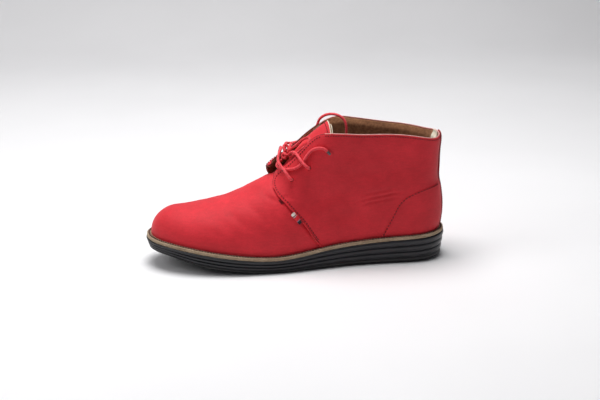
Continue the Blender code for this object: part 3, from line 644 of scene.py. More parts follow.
# ---- Camera ----
AIM = Vector((0.00375, 0, 0.062))
AZIMUTH = math.radians(-7)
ELEVATION = math.radians(17.5)
DISTANCE = 1.25
back = Vector((math.sin(AZIMUTH) * math.cos(ELEVATION),
               -math.cos(AZIMUTH) * math.cos(ELEVATION), math.sin(ELEVATION)))
camera = new_object("camera", bpy.data.cameras.new("camera"))
camera.data.lens = 72.46
camera.data.sensor_width = 36
camera.location = AIM + back * DISTANCE
camera.rotation_euler = (-back).to_track_quat("-Z", "Y").to_euler()
bpy.context.scene.camera = camera


# ---- Laces ----
EYELETS = {"upper": (5.3, 105.0), "lower": (-11.7, 92.6)}
LACE = 1.4  # radius
PLAIT = 0.075


def flap(x, z, side):
    """How far the medial quarter's lower corner is lifted off the vamp."""
    if side == LATERAL:
        return np.zeros(np.shape(x))
    gap = np.hypot((x + 27) * 0.9, (z - 92) * 0.75)
    return FLAP_LIFT * (1 - ease(gap, 2, 30)) * ease(z, 78, 90)


def eyelet_place(x, z, side):
    """(point on the quarter, its outward normal) at an eyelet, the flap's lift included."""
    xs = np.array([x, x + 1, x - 1, x, x])
    zs = np.array([z, z, z, z + 1, z - 1])
    middle, ahead, behind, above, below = on_form(xs, zs, side, flap(xs, zs, side))
    normal = np.cross(ahead - behind, above - below) * -side
    return middle, normal / np.linalg.norm(normal)


HOLES = {(side, level): eyelet_place(*EYELETS[level], side)
         for side in (LATERAL, MEDIAL) for level in EYELETS}


def through(key, heights):
    """Points on an eyelet's axis, at heights above the leather."""
    point, normal = HOLES[key]
    return [tuple(point + normal * h) for h in heights]


HELD = (
    [(-12.1, -4, 112.4), (-9.8, -9.8, 116.2), (-7.6, -17, 117.8), (-4.8, -25.6, 115.6), (-2, -32, 111.8)]
    + through((LATERAL, "upper"), (4.8, 2.2, -2, -7.5)) + through((LATERAL, "lower"), (-7.5, -2, 2.2, 3))
    + [(-16.2, -30.6, 98), (-20.2, -24, 103.4), (-22.8, -17, 106), (-23.8, -10.5, 108.2), (-22.8, -4.5, 110.8),
       (-21, 2, 113.4), (-18.8, 8.5, 115.2), (-18.2, 16, 115), (-18.2, 24, 110.6), (-18, 31.5, 104)]
    + through((MEDIAL, "lower"), (4.6, 2, -2, -7.5)) + through((MEDIAL, "upper"), (-7.5, -2, 2.2, 4))
    + [(-0.6, 31, 111.6), (-4.6, 25, 116), (-7.6, 17, 118), (-9.8, 9.8, 114.6), (-12.6, 4.9, 110.9)]
)
NEAR_END = [(-18.6, -1.6, 106.4), (-21.6, -2, 104.8), (-24.2, -4.6, 102.6), (-24, -9, 101), (-21.6, -13.6, 100.8),
            (-17.9, -19.8, 101.6), (-13.1, -25, 102.7), (-6.3, -28.6, 105.6), (-1.6, -29, 110), (3.4, -28.8, 117.2),
            (7.9, -29.4, 122.4), (14.3, -31.8, 125.4), (19.8, -33.6, 125), (23.2, -34.5, 122.4)]
NEAR_TIP = (26.2, -34.9, 119.2)
FAR_END = [(-14.8, 4.4, 113.8), (-14.4, 9.5, 117.6), (-13, 16, 118.8), (-9.8, 24.4, 117), (-4.2, 32.2, 115),
           (3, 35.6, 115.6), (11, 36, 120), (17.8, 36, 126), (22.2, 35.2, 132.2), (23.9, 32.4, 138.2),
           (26.8, 28.6, 142.9), (31, 24.2, 146.1), (35.8, 20, 147.5), (40.6, 17, 147.2), (45, 14.5, 145),
           (47.9, 12.5, 141.6), (49.3, 11, 136.6), (49.4, 10, 130.5), (48.8, 9.4, 122), (47.8, 9, 113)]
FAR_TIP = (46.6, 9, 101)
NEAR_LOOP = [(-12.5, -0.6, 115.2), (-8.2, -4.4, 119.4), (-1.4, -6.8, 125.6), (4.4, -9, 130.2), (7.8, -12.6, 131),
             (7.2, -16, 127), (2.4, -14.6, 122), (-3.6, -11, 116), (-10.7, -3.2, 109.5)]
FAR_LOOP = [(-15.4, 1, 114.6), (-16.4, 3.4, 117.6), (-15, 5.8, 119.9), (-12.4, 5.6, 118.9), (-11.6, 3.4, 116),
            (-12.4, 1.2, 112.6)]
KNOT = np.array([-15.5, 0.0, 110.5])


# The knot's turns: tilt about X, lean about Y, radius, and place around KNOT.
WRAPS = [(0.2, 0.5, 2.5, (0.9, 0.3, 0.8)), (1.2, -0.3, 2.3, (-0.9, -0.6, -0.3)),
         (-0.9, 0.9, 2.4, (0.1, 0.7, -0.9)), (0.5, 1.5, 2.2, (-0.3, 1.3, 0.6))]


def braided(name, points, *nodes):
    """(piece, its route in metres, its length in metres) of a length of lace."""
    route, length = even(points, 0.5)
    obj = build(name, *tube_data(route, LACE, 14, PLAIT), LACE_RED, 0)
    return place(obj, "root", "lace_red", *nodes), world(route)[::4], length * MM


def aglet(name, line, tip, node):
    start = np.array(line[-1], float)
    route, _ = even([start - (np.array(tip) - start) * 0.05, (start + tip) / 2, tip], 0.6)
    swell = np.interp(np.linspace(0, 1, len(route)), [0, 0.06, 0.12, 0.9, 1],
                      [1.1, 1.55, 1.5, 1.4, 0.9])
    return place(build(name, *tube_data(route, swell, 20), AGLET, 40), "root", "aglet", node)


def make_laces():
    braided("lace_through_eyelets", HELD, "lace_held")
    near_tip = aglet("aglet_near_tip", NEAR_END, NEAR_TIP, "aglet_near")
    far_tip = aglet("aglet_far_tip", FAR_END, FAR_TIP, "aglet_far")
    wraps = []
    for tilt, lean, wide, shift in WRAPS:
        turn = np.linspace(0, 1.85 * math.pi, 40)
        coil = np.stack([np.cos(turn) * wide, np.sin(turn) * wide,
                         np.linspace(-0.7, 0.7, 40)], axis=-1)
        spin = np.array(Matrix.Rotation(tilt, 3, "X") @ Matrix.Rotation(lean, 3, "Y"))
        wraps.append(tube_data(coil @ spin.T + KNOT + np.array(shift), 1.35, 12, 0.07))
    wraps.append(tube_data(even(FAR_LOOP, 0.5)[0], LACE, 14, PLAIT))
    knot = build("lace_bow_knot", *join(wraps), LACE_RED, 0)
    place(knot, "root", "lace_red", "lace_knot", "lace_loop_far")
    cords = (("lace_free_near", NEAR_END, "lace_end_near", "fitting", [near_tip]),
             ("lace_free_far", FAR_END, "lace_end_far", "fitting", [far_tip]),
             ("lace_bow_loop", NEAR_LOOP, "lace_loop_near", "knot", []))
    for name, points, node, far_end, carried in cords:
        piece, route, length = braided(name, points, node)
        tuple(route[0])
        [tuple(p) for p in route]
        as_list(carried)


# ---- Sole ----
HEEL_END = heel_back(30.0)


def outline(side):
    """Feather-line points in plan on one side, with their outward plan normals."""
    turn = np.linspace(0, math.pi / 2, 27)
    toe = TOE_TIP + NOSE_LENGTH * (1 - np.cos(turn))
    foot = np.linspace(toe[-1], HEEL_END - HEEL_RADIUS, 71)[1:]
    heel = HEEL_END - HEEL_RADIUS + HEEL_RADIUS * np.sin(turn)[1:]
    x = np.concatenate([toe, foot, heel])
    y = form_y(np.clip(x, TOE_TIP + 0.02, HEEL_END - 0.01), feather(x), side)
    flat = np.stack([x, y], axis=-1)
    flat[0, 1] = TOE_TURN
    flat[-1, 1] = 0
    tangent = np.gradient(flat, axis=0)
    normal = unit(np.stack([-tangent[:, 1], tangent[:, 0]], axis=-1) * side)
    normal[0] = -1, 0
    normal[-1] = 1, 0
    return flat, normal


LATERAL_LINE, LATERAL_OUT = outline(LATERAL)
MEDIAL_LINE, MEDIAL_OUT = outline(MEDIAL)


def ring(out, height):
    """A loop round the feather line, moved out in plan, at height(x)."""
    x = np.concatenate([LATERAL_LINE[:, 0], MEDIAL_LINE[-2:0:-1, 0]])
    medial = (MEDIAL_LINE + MEDIAL_OUT * out)[-2:0:-1]
    return np.column_stack([np.concatenate([LATERAL_LINE + LATERAL_OUT * out, medial]), height(x)])


def ladder(start, count):
    """Faces that close a ring by joining its two sides across."""
    faces = []
    for i in range(count // 2):
        loop = (i, i + 1, (count - i - 1) % count, (count - i) % count)
        loop = tuple(dict.fromkeys(start + k for k in loop))
        if len(loop) > 2:
            faces.append(loop)
    return faces


def level(amount):
    """A height function that keeps to the feather line."""
    return lambda x: feather(x) + amount


def slab(name, rings, finish, angle):
    """A solid from stacked rings, closed at both ends."""
    count = len(rings[0])
    faces = strip(len(rings), count) + ladder(0, count)
    faces += [face[::-1] for face in ladder((len(rings) - 1) * count, count)]
    return build(name, np.concatenate(rings), faces, finish, angle)


def band(name, rings, finish, angle):
    """A closed loop with this section."""
    closed = rings + [rings[0]]
    return build(name, np.concatenate(closed), strip(len(closed), len(rings[0])), finish, angle)


sole_bottom = spline([(-152, 17.2), (-140, 16.2), (-128, 13.8), (-114, 10), (-100, 6.9), (-82, 4), (-64, 2),
                      (-47, 0.8), (-34, 0.15), (-24, 0)])


FOREPART_END = -24  # behind this X the sole is flat on the floor
RIB_DEPTH = 1.5
RIB_MIDDLE = SOLE_PROUD + 0.35
TAPER = 3.6
EDGE_TURN = 4.5  # how far the lowest part turns in, from EDGE_START of the height down
EDGE_START = 0.86


def ground(x):
    """The sole's underside: it springs up towards the toe."""
    sprung = np.maximum(sole_bottom(np.minimum(x, FOREPART_END)), 0.0)
    return np.where(x > FOREPART_END, 0.0, sprung)


def sidewall(share, drop=0.0, inwards=0.0):
    """A ring of the ribbed sidewall, at a share of its height from the top down."""
    rib = RIB_DEPTH * abs(math.sin(math.pi * share * SOLE_RIDGES)) ** 0.55 - RIB_DEPTH / 2
    turned = max(0.0, (share - EDGE_START) / (1 - EDGE_START)) ** 2
    taper = TAPER * share + EDGE_TURN * turned

    def height(x):
        top = feather(x) + SOLE_TOP
        return top + (ground(x) - top) * share + drop

    return ring(RIB_MIDDLE + rib - taper - inwards, height)


TREAD_DEPTH = 1.3
BAR_PITCH = 8.4
BAR_POINTS = 41
BAR_INSET = 5.2  # from the outsole's lower edge
WAIST = (12, 46)  # no tread under the arch
NARROWEST_BAR = 14


def make_sole_unit():
    """The ribbed midsole, and the outsole with its rim."""
    shares = np.linspace(0, 1 - OUTSOLE_SHARE, 48)
    midsole = slab("midsole_ribbed", [sidewall(s) for s in shares], MIDSOLE, 0)
    place(midsole, "root", "midsole_foam", "midsole")
    join_share = 1 - OUTSOLE_SHARE + 0.012
    low = [sidewall(s) for s in np.linspace(join_share, 1, 14)]
    low += [sidewall(1, 0.02, 0.8), sidewall(1, TREAD_DEPTH, 1.1)]
    outsole = slab("outsole_unit", [sidewall(join_share, 0, 3)] + low, OUTSOLE, 35)
    place(outsole, "root", "outsole_rubber", "outsole")
    rim_parts = [sidewall(1, 0.02, inset) for inset in (1.0, 3.6)]
    rim_parts += [sidewall(1, TREAD_DEPTH + 0.1, inset) for inset in (3.8, 0.9)]
    place(band("tread_rim", rim_parts, OUTSOLE, 30), "root", "outsole_rubber")


def make_tread():
    """Zigzag bars across the underside."""
    out = RIB_MIDDLE - RIB_DEPTH / 2 - TAPER - EDGE_TURN - BAR_INSET
    bars = []
    for x in np.arange(-141, 139, BAR_PITCH):
        left, right = (float(form_y(np.array(x), feather(x), side) + side * out)
                       for side in (LATERAL, MEDIAL))
        if WAIST[0] < x < WAIST[1] or right - left < NARROWEST_BAR:
            continue
        across = np.linspace(left, right, BAR_POINTS)
        zigzag = 2.2 * np.abs((across / 9) % 2 - 1)
        rows = []
        for dx, dz in ((-2.3, 0.02), (-2.8, TREAD_DEPTH + 0.1), (2.8, TREAD_DEPTH + 0.1),
                       (2.3, 0.02)):
            px = x + dx + zigzag
            rows.append(np.column_stack([px, across, ground(px) + dz]))
        rows = np.array(rows).transpose(1, 0, 2)
        last = 4 * (BAR_POINTS - 1)
        faces = strip(BAR_POINTS, 4) + [(3, 2, 1, 0), tuple(last + i for i in range(4))]
        bars.append((rows.reshape(-1, 3), faces))
    place(build("tread_bars", *join(bars), OUTSOLE, 30), "root", "outsole_rubber")


def make_welt():
    proud = SOLE_PROUD
    section = [(-0.6, WELT_TOP), (1.3, WELT_TOP), (1.6, WELT_TOP - 0.45), (2.6, WELT_TOP - 0.45),
               (2.9, WELT_TOP), (proud - 0.5, WELT_TOP), (proud - 0.1, WELT_TOP - 0.25),
               (proud, WELT_TOP - 0.7), (proud + 0.05, -2.0), (proud, WELT_BOTTOM + 0.5),
               (proud - 0.35, WELT_BOTTOM), (-0.6, WELT_BOTTOM)]
    welt = band("welt_strip", [ring(out, level(z)) for out, z in section], WELT, 40)
    place(welt, "root", "welt_tan", "welt")
    line = ring(2.2, level(WELT_TOP + 0.05))
    line = np.concatenate([line, line[:1]])
    up = np.tile((0, 0, 1.0), (len(line), 1))
    # The dark welt thread doubles as painted shade in the crease above the welt.
    place(stitches("welt_stitching", line, up, 2.9, WELT_THREAD_CREASE_SHADE, 0.85, 0.7), "root", "welt_tan")


def make_footbed():
    inner = LINING_OUT - LINING - 1.0
    section = ((1.6, 2.6), (0.6, 2.2), (0.2, 1.6), (0.2, -0.4))
    rings = [ring(inner - inset, level(height)) for inset, height in section]
    place(slab("footbed_cover", rings, FOOTBED, 40), "root", "footbed_cloth", "footbed")


def make_sole():
    make_sole_unit()
    make_tread()
    make_welt()
    make_footbed()


# ---- Upper ----
def ripple(x, y, z):
    """Slow unevenness of leather that has been worn and stuffed, in millimetres."""
    return (0.16 * np.sin(x / 7.3 + 1.1 * np.sin(z / 9.1) + y / 13.0)
            + 0.12 * np.sin(z / 5.9 - 1.4 * np.sin(x / 11.7) + 0.4)
            + 0.1 * np.sin((x + z) / 4.1 + 1.7 * np.sin(y / 6.3)))


def groove(x, z, line, width, depth):
    """A crease along a side-view line, with a low swelling beside it, fading towards its ends."""
    t = np.linspace(0, 1, 60)
    points = path(line)(t)
    gap = np.stack([x, z], axis=-1)[..., None, :] - points
    distance = np.linalg.norm(gap, axis=-1)
    nearest = distance.argmin(axis=-1)
    d = distance.min(axis=-1)
    fade = np.sin(math.pi * np.clip(t[nearest], 0.03, 0.97)) ** 0.6
    swelling = 0.4 * depth * np.exp(-((d - 2.2 * width) / width) ** 2)
    return fade * (-depth * np.exp(-(d / width) ** 2) + swelling)


VAMP_CREASES = [
    ([(-104, 47), (-92, 44), (-80, 37)], 3.0, 0.34),
    ([(-76, 62), (-66, 54), (-54, 44)], 3.0, 0.42),
    ([(-58, 70), (-44, 58), (-33, 44)], 2.6, 0.32),
    ([(-40, 78), (-33, 74), (-24, 72)], 2.0, 0.5),
]


def seam_x(share):
    """X of the vamp seam at this share of the height from the feather line to the ridge."""
    x = np.linspace(-45, 32, 300)
    z = feather(x) + (ridge(x) - feather(x)) * share
    behind = behind_seam(x, z) > 0
    return x[np.argmax(behind)] if behind.any() else THROAT_X


def vamp_points(reach, out, rows=44, columns=96):
    """Grid over the toe and vamp, from the lateral welt over the ridge to the medial welt."""
    shares = np.sin(np.linspace(0, 1, rows) * math.pi / 2) ** (2 / SECTION_POWER)
    grid = []
    for side in (LATERAL, MEDIAL):
        lines = []
        for share in shares:
            under = reach * (1 - 0.75 * share**3)
            end = seam_x(share) + (under if reach > 0 else reach)
            toe = TOE_TIP + NOSE_LENGTH * (1 - np.cos(np.linspace(0, math.pi / 2, 24)))
            toe[0] += 0.03
            x = np.concatenate([toe, np.linspace(toe[-1], end, columns)[1:]])
            z = feather(x) + (ridge(x) - feather(x)) * share
            moved = np.full_like(x, out)
            if reach > 0:
                moved -= 1.5 * ease(x - (end - under), -3.2, -0.4)
                y = form_y(x, z, side)
                calm = ease(x, TOE_TIP + 4, TOE_TIP + 40) * ease(z - feather(x), 1, 9)
                moved += ripple(x, y, z) * calm
                moved += calm * sum(groove(x, z, *crease) for crease in VAMP_CREASES)
            line = on_form(x, z, side, moved)
            line[0] = (TOE_TIP - out, TOE_TURN, feather(TOE_TIP))
            lines.append(line)
        bottom = lines[0].copy()
        bottom[:, 2] = feather(bottom[:, 0]) + SKIRT
        middle = (lines[0] + bottom) / 2
        lines = [bottom, middle] + lines
        grid.append(lines if side == LATERAL else lines[-2::-1])
    return np.array(grid[0] + grid[1])


def quarter_places(side, rows=128, columns=120, back=34):
    """Side-view places of a quarter: rows from welt to topline, columns from front to heel."""
    v = np.linspace(0, 1, rows)
    front = front_edges[side](v)
    low_z = feather(146.0) + SKIRT
    back_z = low_z + (top_height(146.0, side) - low_z) * v
    back_x = heel_back(back_z)
    turn = back_x - HEEL_RADIUS
    shares = np.linspace(0, 1, columns) ** 1.25
    flat = front[:, :1] + (turn - front[:, 0])[:, None] * shares
    curved = turn[:, None] + HEEL_RADIUS * np.sin(np.linspace(0, math.pi / 2, back + 1))[1:]
    x = np.concatenate([flat, curved], axis=1)
    share = (x - x[:, :1]) / (back_x - x[:, 0])[:, None]
    straight = front[:, 1:2] * (1 - share) + back_z[:, None] * share
    low = feather(x[0]) + SKIRT - straight[0]
    high = top_height(x[-1], side) - straight[-1]
    low[0] = high[0] = 0
    weight = v[:, None]
    return x, straight + (1 - weight) * low + weight * high


def lining_out(x, z, side, ahead):
    """The lining meets the leather at the topline and facing, and stands off the padded collar."""
    down = ease(top_height(x, side) - z, 0.4, 7) * ease(ahead, 0.3, 5)
    return -(LEATHER + 0.2) + (LINING_OUT + LEATHER + 0.2) * down


HEEL_LINE = path([(146, 81.6), (142, 80.8), (125, 78.5), (112, 74.5), (103, 69.5), (97, 63), (92.5, 54),
                  (88, 45), (83.5, 36), (79.5, 27.5)])
WRINKLES = [
    ([(52, 67.6), (62, 70.4), (76, 72.8), (90, 75.2), (103, 77.4)], 1.3, 0.6),
    ([(56, 64.2), (68, 67), (82, 69.4), (96, 71.6)], 1.2, 0.48),
    ([(60, 75), (74, 78), (88, 80), (98, 82)], 1.4, 0.34),
    ([(-24, 71), (-17.3, 76.6), (-12.5, 75.2), (-6, 77)], 1.5, 0.4),
    ([(6, 62), (16, 70), (30, 76), (44, 79)], 4.5, 0.45),
    ([(30, 104), (52, 100), (80, 99), (112, 101)], 7.0, 0.6),
    ([(20, 122), (44, 117), (70, 117), (96, 119)], 6.0, 0.35),
    ([(14, 48), (28, 52), (50, 53), (70, 50)], 5.0, 0.35),
]


HOLE_RADIUS = 1.9
HOLE_DEPTH = 9
HEEL_GAP = 0.2  # half the gap between the quarters at the heel
LEG_INSIDE = (70, 0, 80)


def drill(obj, side):
    """Cuts the two lace holes."""
    for name in EYELETS:
        point, normal = HOLES[(side, name)]
        work = bmesh.new()
        bmesh.ops.create_cone(work, cap_ends=True, segments=28, radius1=HOLE_RADIUS * MM,
                              radius2=HOLE_RADIUS * MM, depth=HOLE_DEPTH * MM)
        mesh = bpy.data.meshes.new("hole")
        work.to_mesh(mesh)
        work.free()
        cutter = new_object("hole", mesh)
        cutter.rotation_euler = Vector(normal).to_track_quat("Z", "Y").to_euler()
        cutter.location = Vector(world(point).tolist())
        bpy.context.view_layer.update()
        modifier = obj.modifiers.new("hole", "BOOLEAN")
        modifier.operation = "DIFFERENCE"
        modifier.solver = "EXACT"
        modifier.object = cutter
        graph = bpy.context.evaluated_depsgraph_get()
        done = bpy.data.meshes.new_from_object(obj.evaluated_get(graph))
        obj.modifiers.clear()
        obj.data = done
        bpy.data.objects.remove(cutter, do_unlink=True)


def form_line(places, side, out):
    """Points and outward normals along side-view places of the form."""
    x, z = places[:, 0], places[:, 1]
    lifted = on_form(x, z, side, out + flap(x, z, side))
    return lifted, normals(x, form_y(x, z, side), z)


def inset_edge(side, amount, start, end, count=260):
    """Side-view places that run inside a quarter's front edge."""
    t = np.linspace(start, end, count)
    edge = front_edges[side](t)
    tangent = unit(np.gradient(edge, axis=0))
    return edge + np.stack([tangent[:, 1], -tangent[:, 0]], axis=-1) * amount


def heel_x(height, turn):
    """X on the rounded heel, turned 0 at its start to 90 degrees at the seam."""
    return heel_back(height) - HEEL_RADIUS * (1 - np.sin(turn))


def make_vamp():
    inside = (-60, 0, 35)
    place_red(panel("vamp_leather", vamp_points(UNDERLAP, 0), LEATHER, RED, inside), "vamp")
    lining = panel("vamp_lining_suede", vamp_points(-4, LINING_OUT, 22, 40), LINING, SUEDE, inside)
    place(lining, "root", "lining_brown", "vamp_lining")


def make_quarter(side, word):
    x, z = quarter_places(side)
    y = form_y(x, z, side)
    lift = flap(x, z, side)
    calm = ease(z - feather(x), 1, 8) * ease(top_height(x, side) - z, 0, 5)
    out = lift + ripple(x, y, z) * calm
    for line, width, depth in WRINKLES:
        out = out + calm * groove(x, z, line, width, depth)
    points = on_form(x, z, side, out)
    points[:, -1, 1] = side * HEEL_GAP
    quarter = panel("quarter_leather_" + word, points, LEATHER, RED, LEG_INSIDE)
    drill(quarter, side)
    place_red(quarter, "quarter_" + word)

    inner = on_form(x, z, side, lift + lining_out(x, z, side, x - x[:, :1]))[::2, ::2]
    inner[:, -1, 1] = side * HEEL_GAP / 2
    lining = panel("quarter_lining_suede_" + word, inner, LINING, SUEDE, LEG_INSIDE)
    drill(lining, side)
    place(lining, "root", "lining_brown", "quarter_lining_" + word)


def make_foxing(side, word):
    """The leather over the heel, behind and below HEEL_LINE."""
    edge = HEEL_LINE(np.linspace(0, 1, 90))
    end = heel_back(edge[:, 1])
    keep = edge[:, 0] < end - 0.3
    edge, end = edge[keep], end[keep]
    spread = np.sin(np.linspace(0, 1, 60) * math.pi / 2)
    x = edge[:, :1] + (end - edge[:, 0])[:, None] * spread
    z = np.repeat(edge[:, 1:2], 60, axis=1)
    sink = np.linspace(0, 1, len(edge))[:, None] ** 3
    z = z + (feather(x[-1]) + SKIRT - z[-1]) * sink
    x = np.minimum(x, heel_back(z) - 0.0005)
    calm = ease(z - feather(x), 1, 8)
    points = on_form(x, z, side, 0.35 + ripple(x, form_y(x, z, side), z) * calm)
    points[:, -1, 1] = side * HEEL_GAP
    foxing = panel("heel_foxing_leather_" + word, points, 0.6, RED, (100, 0, 60))
    place_red(foxing, "heel_foxing_" + word)


def make_seams(side, word):
    """Stitching along the foxing and the front edge, and the front edge's cut leather."""
    line = HEEL_LINE(np.linspace(0, 1, 300))
    line = line[line[:, 0] < heel_back(line[:, 1]) - 4]
    tangent = unit(np.gradient(line, axis=0))
    line = line + np.stack([-tangent[:, 1], tangent[:, 0]], axis=-1) * 1.2
    # The dark thread carries painted shade for the needle holes along these seams.
    place_red(stitches("heel_stitching_" + word, *form_line(line, side, 0.5), 3.4, THREAD, 0.7, 0.5))
    front = form_line(inset_edge(side, 1.7, 0.06, 0.93), side, 0.1)
    place_red(stitches("front_stitching_" + word, *front, 2.9, THREAD, 0.6, 0.5))
    rim, _ = form_line(inset_edge(side, 0.1, 0.02, 0.97), side, -0.75)
    place_red(cord_edge("front_edge_" + word, even(rim[::4], 1.0)[0], 0.62, 10, CUT_EDGE))


def make_topline(side, word):
    """Stitching below the topline, and the rolled edge along it."""
    x = np.concatenate([np.linspace(21, heel_back(131.0) - HEEL_RADIUS, 90),
                        heel_x(131.0, np.linspace(0, 1.5, 40)[1:])])
    down, outward = form_line(np.stack([x, top_height(x, side) - 1.9], axis=-1), side, 0.1)
    place_red(stitches("topline_stitching_" + word, down, outward, 2.6, THREAD, 0.5, 0.5))
    x = np.append(x, heel_back(131.0) - 0.01)
    z = top_height(x, side)
    roll = on_form(x, z + 0.1, side, -1.0 + flap(x, z, side))
    roll[-1, 1] = 0
    # The roll's pale pink is a painted highlight on the rolled red leather edge.
    place_red(cord_edge("topline_roll_" + word, even(roll[::3], 1.0)[0], 0.62, 12, EDGE_HIGHLIGHT_PINK))


def make_bar_tack():
    bars = []
    for k in range(5):
        middle = np.array([-24.4 + 0.55 * k, 73.6 - 0.75 * k])
        ends = np.array([middle + (-1.1, -0.8), middle, middle + (1.1, 0.8)])
        centre, _ = form_line(ends, LATERAL, 0.3)
        bars.append(tube_data(even(centre, 0.5)[0], 0.4, 8))
    place_red(build("bar_tack", *join(bars), THREAD, 0))


def make_upper():
    make_vamp()
    for side, word in SIDES:
        make_quarter(side, word)
        make_foxing(side, word)
        make_seams(side, word)
        make_topline(side, word)
    make_bar_tack()


def back_points(out, angle, low_z, high_z, rows, columns=15):
    """Grid across the heel seam, from angle short of it on one side to the same on the other."""
    half = np.linspace(angle, 89.9, columns)
    turn = np.radians(np.concatenate([half, np.linspace(89.9, angle, columns)[1:]]))
    sides = [LATERAL] * columns + [MEDIAL] * (columns - 1)
    grid = []
    for height in np.linspace(low_z, high_z, rows):
        x = heel_x(height, turn)
        amount = out(height) if callable(out) else out
        row = [on_form(px, height, side, amount) for px, side in zip(x, sides)]
        row[columns - 1][1] = 0
        grid.append(row)
    return np.array(grid)


def make_heel():
    strip_points = back_points(1.6, 82.5, 31.4, 131.6, 70)
    place_red(panel("back_strip_leather", strip_points, 1.2, STRIP_RED, LEG_INSIDE), "back_strip")
    for side, word in SIDES:
        z = np.linspace(34, 128, 120)
        x = heel_x(z, math.radians(84))
        line = on_form(x, z, side, 1.65)
        outward = normals(x, form_y(x, z, side), z)
        place_red(stitches("back_stitching_" + word, line, outward, 2.4, THREAD, 0.3))

    def tape_out(height):
        return -(LEATHER + 0.2) + (LINING_OUT + LEATHER + 0.2) * ease(131.0 - height, 0.4, 7) - 1.25

    tape = back_points(tape_out, 76, 112, 132.2, 24)
    place(panel("heel_pull_tape", tape, 0.6, CREAM, LEG_INSIDE), "root", "cream_tape", "heel_tape")


# The tongue's middle line in the side view, then its half-width and its drop to the sides.
tongue_line = path([(-26, 88.4), (-16, 100.3), (-6, 113.2), (4, 125.2), (12, 132.4), (20, 139),
                    (28.5, 145.5)])
tongue_half = spline([(0, 8.5), (0.15, 10.5), (0.3, 15), (0.5, 19.5), (0.75, 21.5), (0.92, 21),
                      (1, 19)])
tongue_drop = spline([(0, 0.034), (0.2, 0.028), (0.6, 0.021), (1, 0.024)])


def tongue_points(out, top=0.0, rows=60, columns=41):
    across = np.linspace(-1, 1, columns)
    grid = []
    for row in np.linspace(0, 1, rows):
        share = row * (1 - 0.085 * np.abs(across) ** 2.5)
        middle = tongue_line(share)
        along = unit(tongue_line(share + 0.005) - tongue_line(share - 0.005))
        y = across * tongue_half(share)
        slope = 2 * tongue_drop(share) * y
        steep = np.sqrt(1 + slope**2)
        dent = 0.25 * np.sin(share * 17 + y / 5) * ease(share, 0.15, 0.4)
        amount = out + top * share**2 + (dent if not top else 0)
        down = tongue_drop(share) * y**2 - amount / steep
        places = middle + np.stack([down * along[:, 1], -down * along[:, 0]], axis=-1)
        grid.append(np.column_stack([places[:, 0], y + amount * slope / steep, places[:, 1]]))
    return np.array(grid)


def make_tongue():
    below = (40, 0, 90)
    outer = tongue_points(0)
    place(panel("tongue_leather", outer, 1.4, RED, below), "tongue", "leather_red", "tongue")
    under = tongue_points(-1.75, -3.4)
    lining = panel("tongue_lining_suede", under, 1.0, SUEDE, below)
    place(lining, "tongue", "lining_brown", "tongue_lining")
    for name, points, drop in (("tongue_edge_upper", outer, 0.7), ("tongue_edge_lower", under, 0.5)):
        rim = np.concatenate([points[20:-1, 0], points[-1], points[-2:19:-1, -1]])
        rim = rim + (0, 0, -drop * 0.6)
        place(cord_edge(name, even(rim[::3], 1.2)[0], 0.5, 10, CREAM), "tongue", "cream_tape")
    sewn, up = (np.concatenate([grid[18:-3, 3], grid[-4, 4:-4], grid[-4:17:-1, -4]])
                for grid in (outer, surface_normals(outer)))
    if up[:, 2].mean() < 0:
        up = -up
    place(stitches("tongue_stitching", sewn, up, 2.4, THREAD), "tongue", "leather_red")


TAB_SHARE = (0.225, 0.307)
TAB_PARTS = (0, 0.19, 0.27, 0.32, 0.68, 0.75, 1.0)
TAB_POINTS = 41
# The folded ribbon's section: distance ahead of the seam, and height above the form.
TAB_FOLD = [(0.4, -0.35), (2.2, -0.42), (3.6, -0.4), (4.2, -0.25), (4.55, 0.1), (4.65, 0.4),
            (4.55, 0.75), (4.2, 1.02), (3.6, 1.15), (2.2, 1.22), (0.4, 1.15), (0.4, 0.6), (2.2, 0.62),
            (3.3, 0.58), (3.6, 0.4), (3.3, 0.2), (2.2, 0.14), (0.4, 0.2)]


def make_tab():
    """A ribbon folded over at its outer edge, woven in bands along its length."""
    count = len(TAB_FOLD)
    rings = []
    for s in np.linspace(0, 1, TAB_POINTS):
        t = TAB_SHARE[0] + (TAB_SHARE[1] - TAB_SHARE[0]) * s
        edge = front_edges[LATERAL](t)
        step = front_edges[LATERAL](t + 0.01) - edge
        ahead = np.array([-step[1], step[0]]) / np.hypot(*step)
        spots = np.array([edge + ahead * d for d, _ in TAB_FOLD])
        rings.append(on_form(*spots.T, LATERAL, np.array([lift for _, lift in TAB_FOLD])))
    last_ring = tuple((TAB_POINTS - 1) * count + i for i in range(count))
    faces = strip(TAB_POINTS, count) + [tuple(range(count))[::-1], last_ring]
    tab = build("side_tab_ribbon", np.concatenate(rings), faces, TAB_BANDS[0], 45)
    for finish in TAB_BANDS[1:]:
        tab.data.materials.append(finish)
    first = world(rings[0].mean(axis=0))
    last = world(rings[-1].mean(axis=0))
    axis = last - first
    for polygon in tab.data.polygons:
        share = 1 - float(np.dot(np.array(polygon.center) - first, axis) / np.dot(axis, axis))
        polygon.material_index = int(np.clip(np.searchsorted(TAB_PARTS, share) - 1, 0, 5))
    place(tab, "side_tab", "tab_ribbon", "side_tab")


FRAME_FINISHES = (("eyelet", BRASS), ("collar_foam", FOAM), ("facing_stay", FELT), ("toe_puff", FELT),
                  ("heel_counter", FELT), ("shank", STEEL), ("insole_board", BOARD))


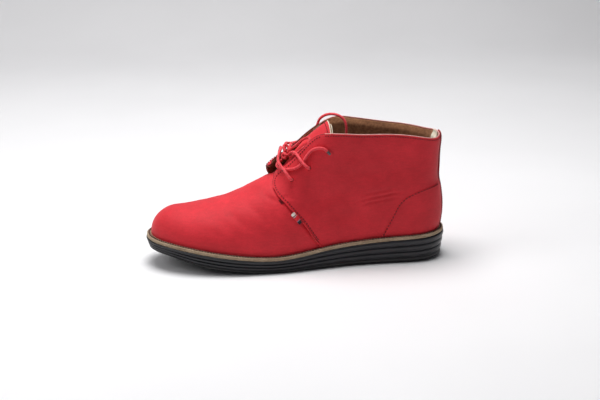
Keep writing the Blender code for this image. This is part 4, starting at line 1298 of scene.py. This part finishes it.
def dress_frame():
    """Materials for the CAD pieces that stay as they are, by the start of the node's name."""
    for name, node in frame["nodes"].items():
        for start, finish in FRAME_FINISHES:
            if name.startswith(start):
                for material_slot in node.material_slots:
                    material_slot.material = finish


# ---- Studio ----
def make_floor():
    """A pale floor that curves up into a backdrop, in metres."""
    stage, tree, node = shader("pale_floor", 0.85, specular=0.2)
    cloud = noise(tree, object_coordinates(tree), 3, 2)
    pale = ramp(tree, cloud, [(0.4, (0.86, 0.855, 0.865)), (0.6, (0.88, 0.875, 0.885))])
    tree.links.new(pale, node.inputs["Base Color"])
    bend = 0.6
    turn = np.linspace(0, math.pi / 2, 14)[1:]
    profile = [(-2.6, 0.0), (1.1, 0.0)]
    profile += [(1.1 + bend * math.sin(a), bend - bend * math.cos(a)) for a in turn]
    profile.append((1.7, 2.6))
    points = [(px, py, pz) for py, pz in profile for px in (-3.2, 3.2)]
    mesh = bpy.data.meshes.new("floor")
    mesh.from_pydata(points, [], strip(len(profile), 2, around=False))
    mesh.shade_smooth()
    floor = new_object("floor", mesh)
    floor.data.materials.append(stage)


# Name, place, size, watts and aim.
LIGHTS = (("key", (-0.1, 0.07, 1.3), 0.8, 15.5, (0.0, 0, 0.05)),
          ("backdrop", (0.0, 0.6, 1.9), 1.6, 10.5, (0.0, 1.4, 0.3)),
          ("left", (-1.15, -0.2, 0.95), 0.8, 5, (0, 0, 0.08)))


def make_studio():
    make_floor()
    for name, spot, size, power, aim in LIGHTS:
        light = new_object(name, bpy.data.lights.new(name, "AREA"))
        light.data.shape = "SQUARE"
        light.data.size = size
        light.data.energy = power
        light.location = spot
        light.rotation_euler = (Vector(aim) - Vector(spot)).to_track_quat("-Z", "Y").to_euler()
    sky = bpy.data.worlds.new("studio")
    sky.use_nodes = True
    background = sky.node_tree.nodes["Background"]
    background.inputs["Color"].default_value = (0.95, 0.95, 1, 1)
    background.inputs["Strength"].default_value = 0.08
    bpy.context.scene.world = sky
    bpy.context.scene.view_settings.view_transform = "Standard"


make_laces()
make_sole()
make_upper()
make_heel()
make_tongue()
make_tab()
dress_frame()
make_studio()
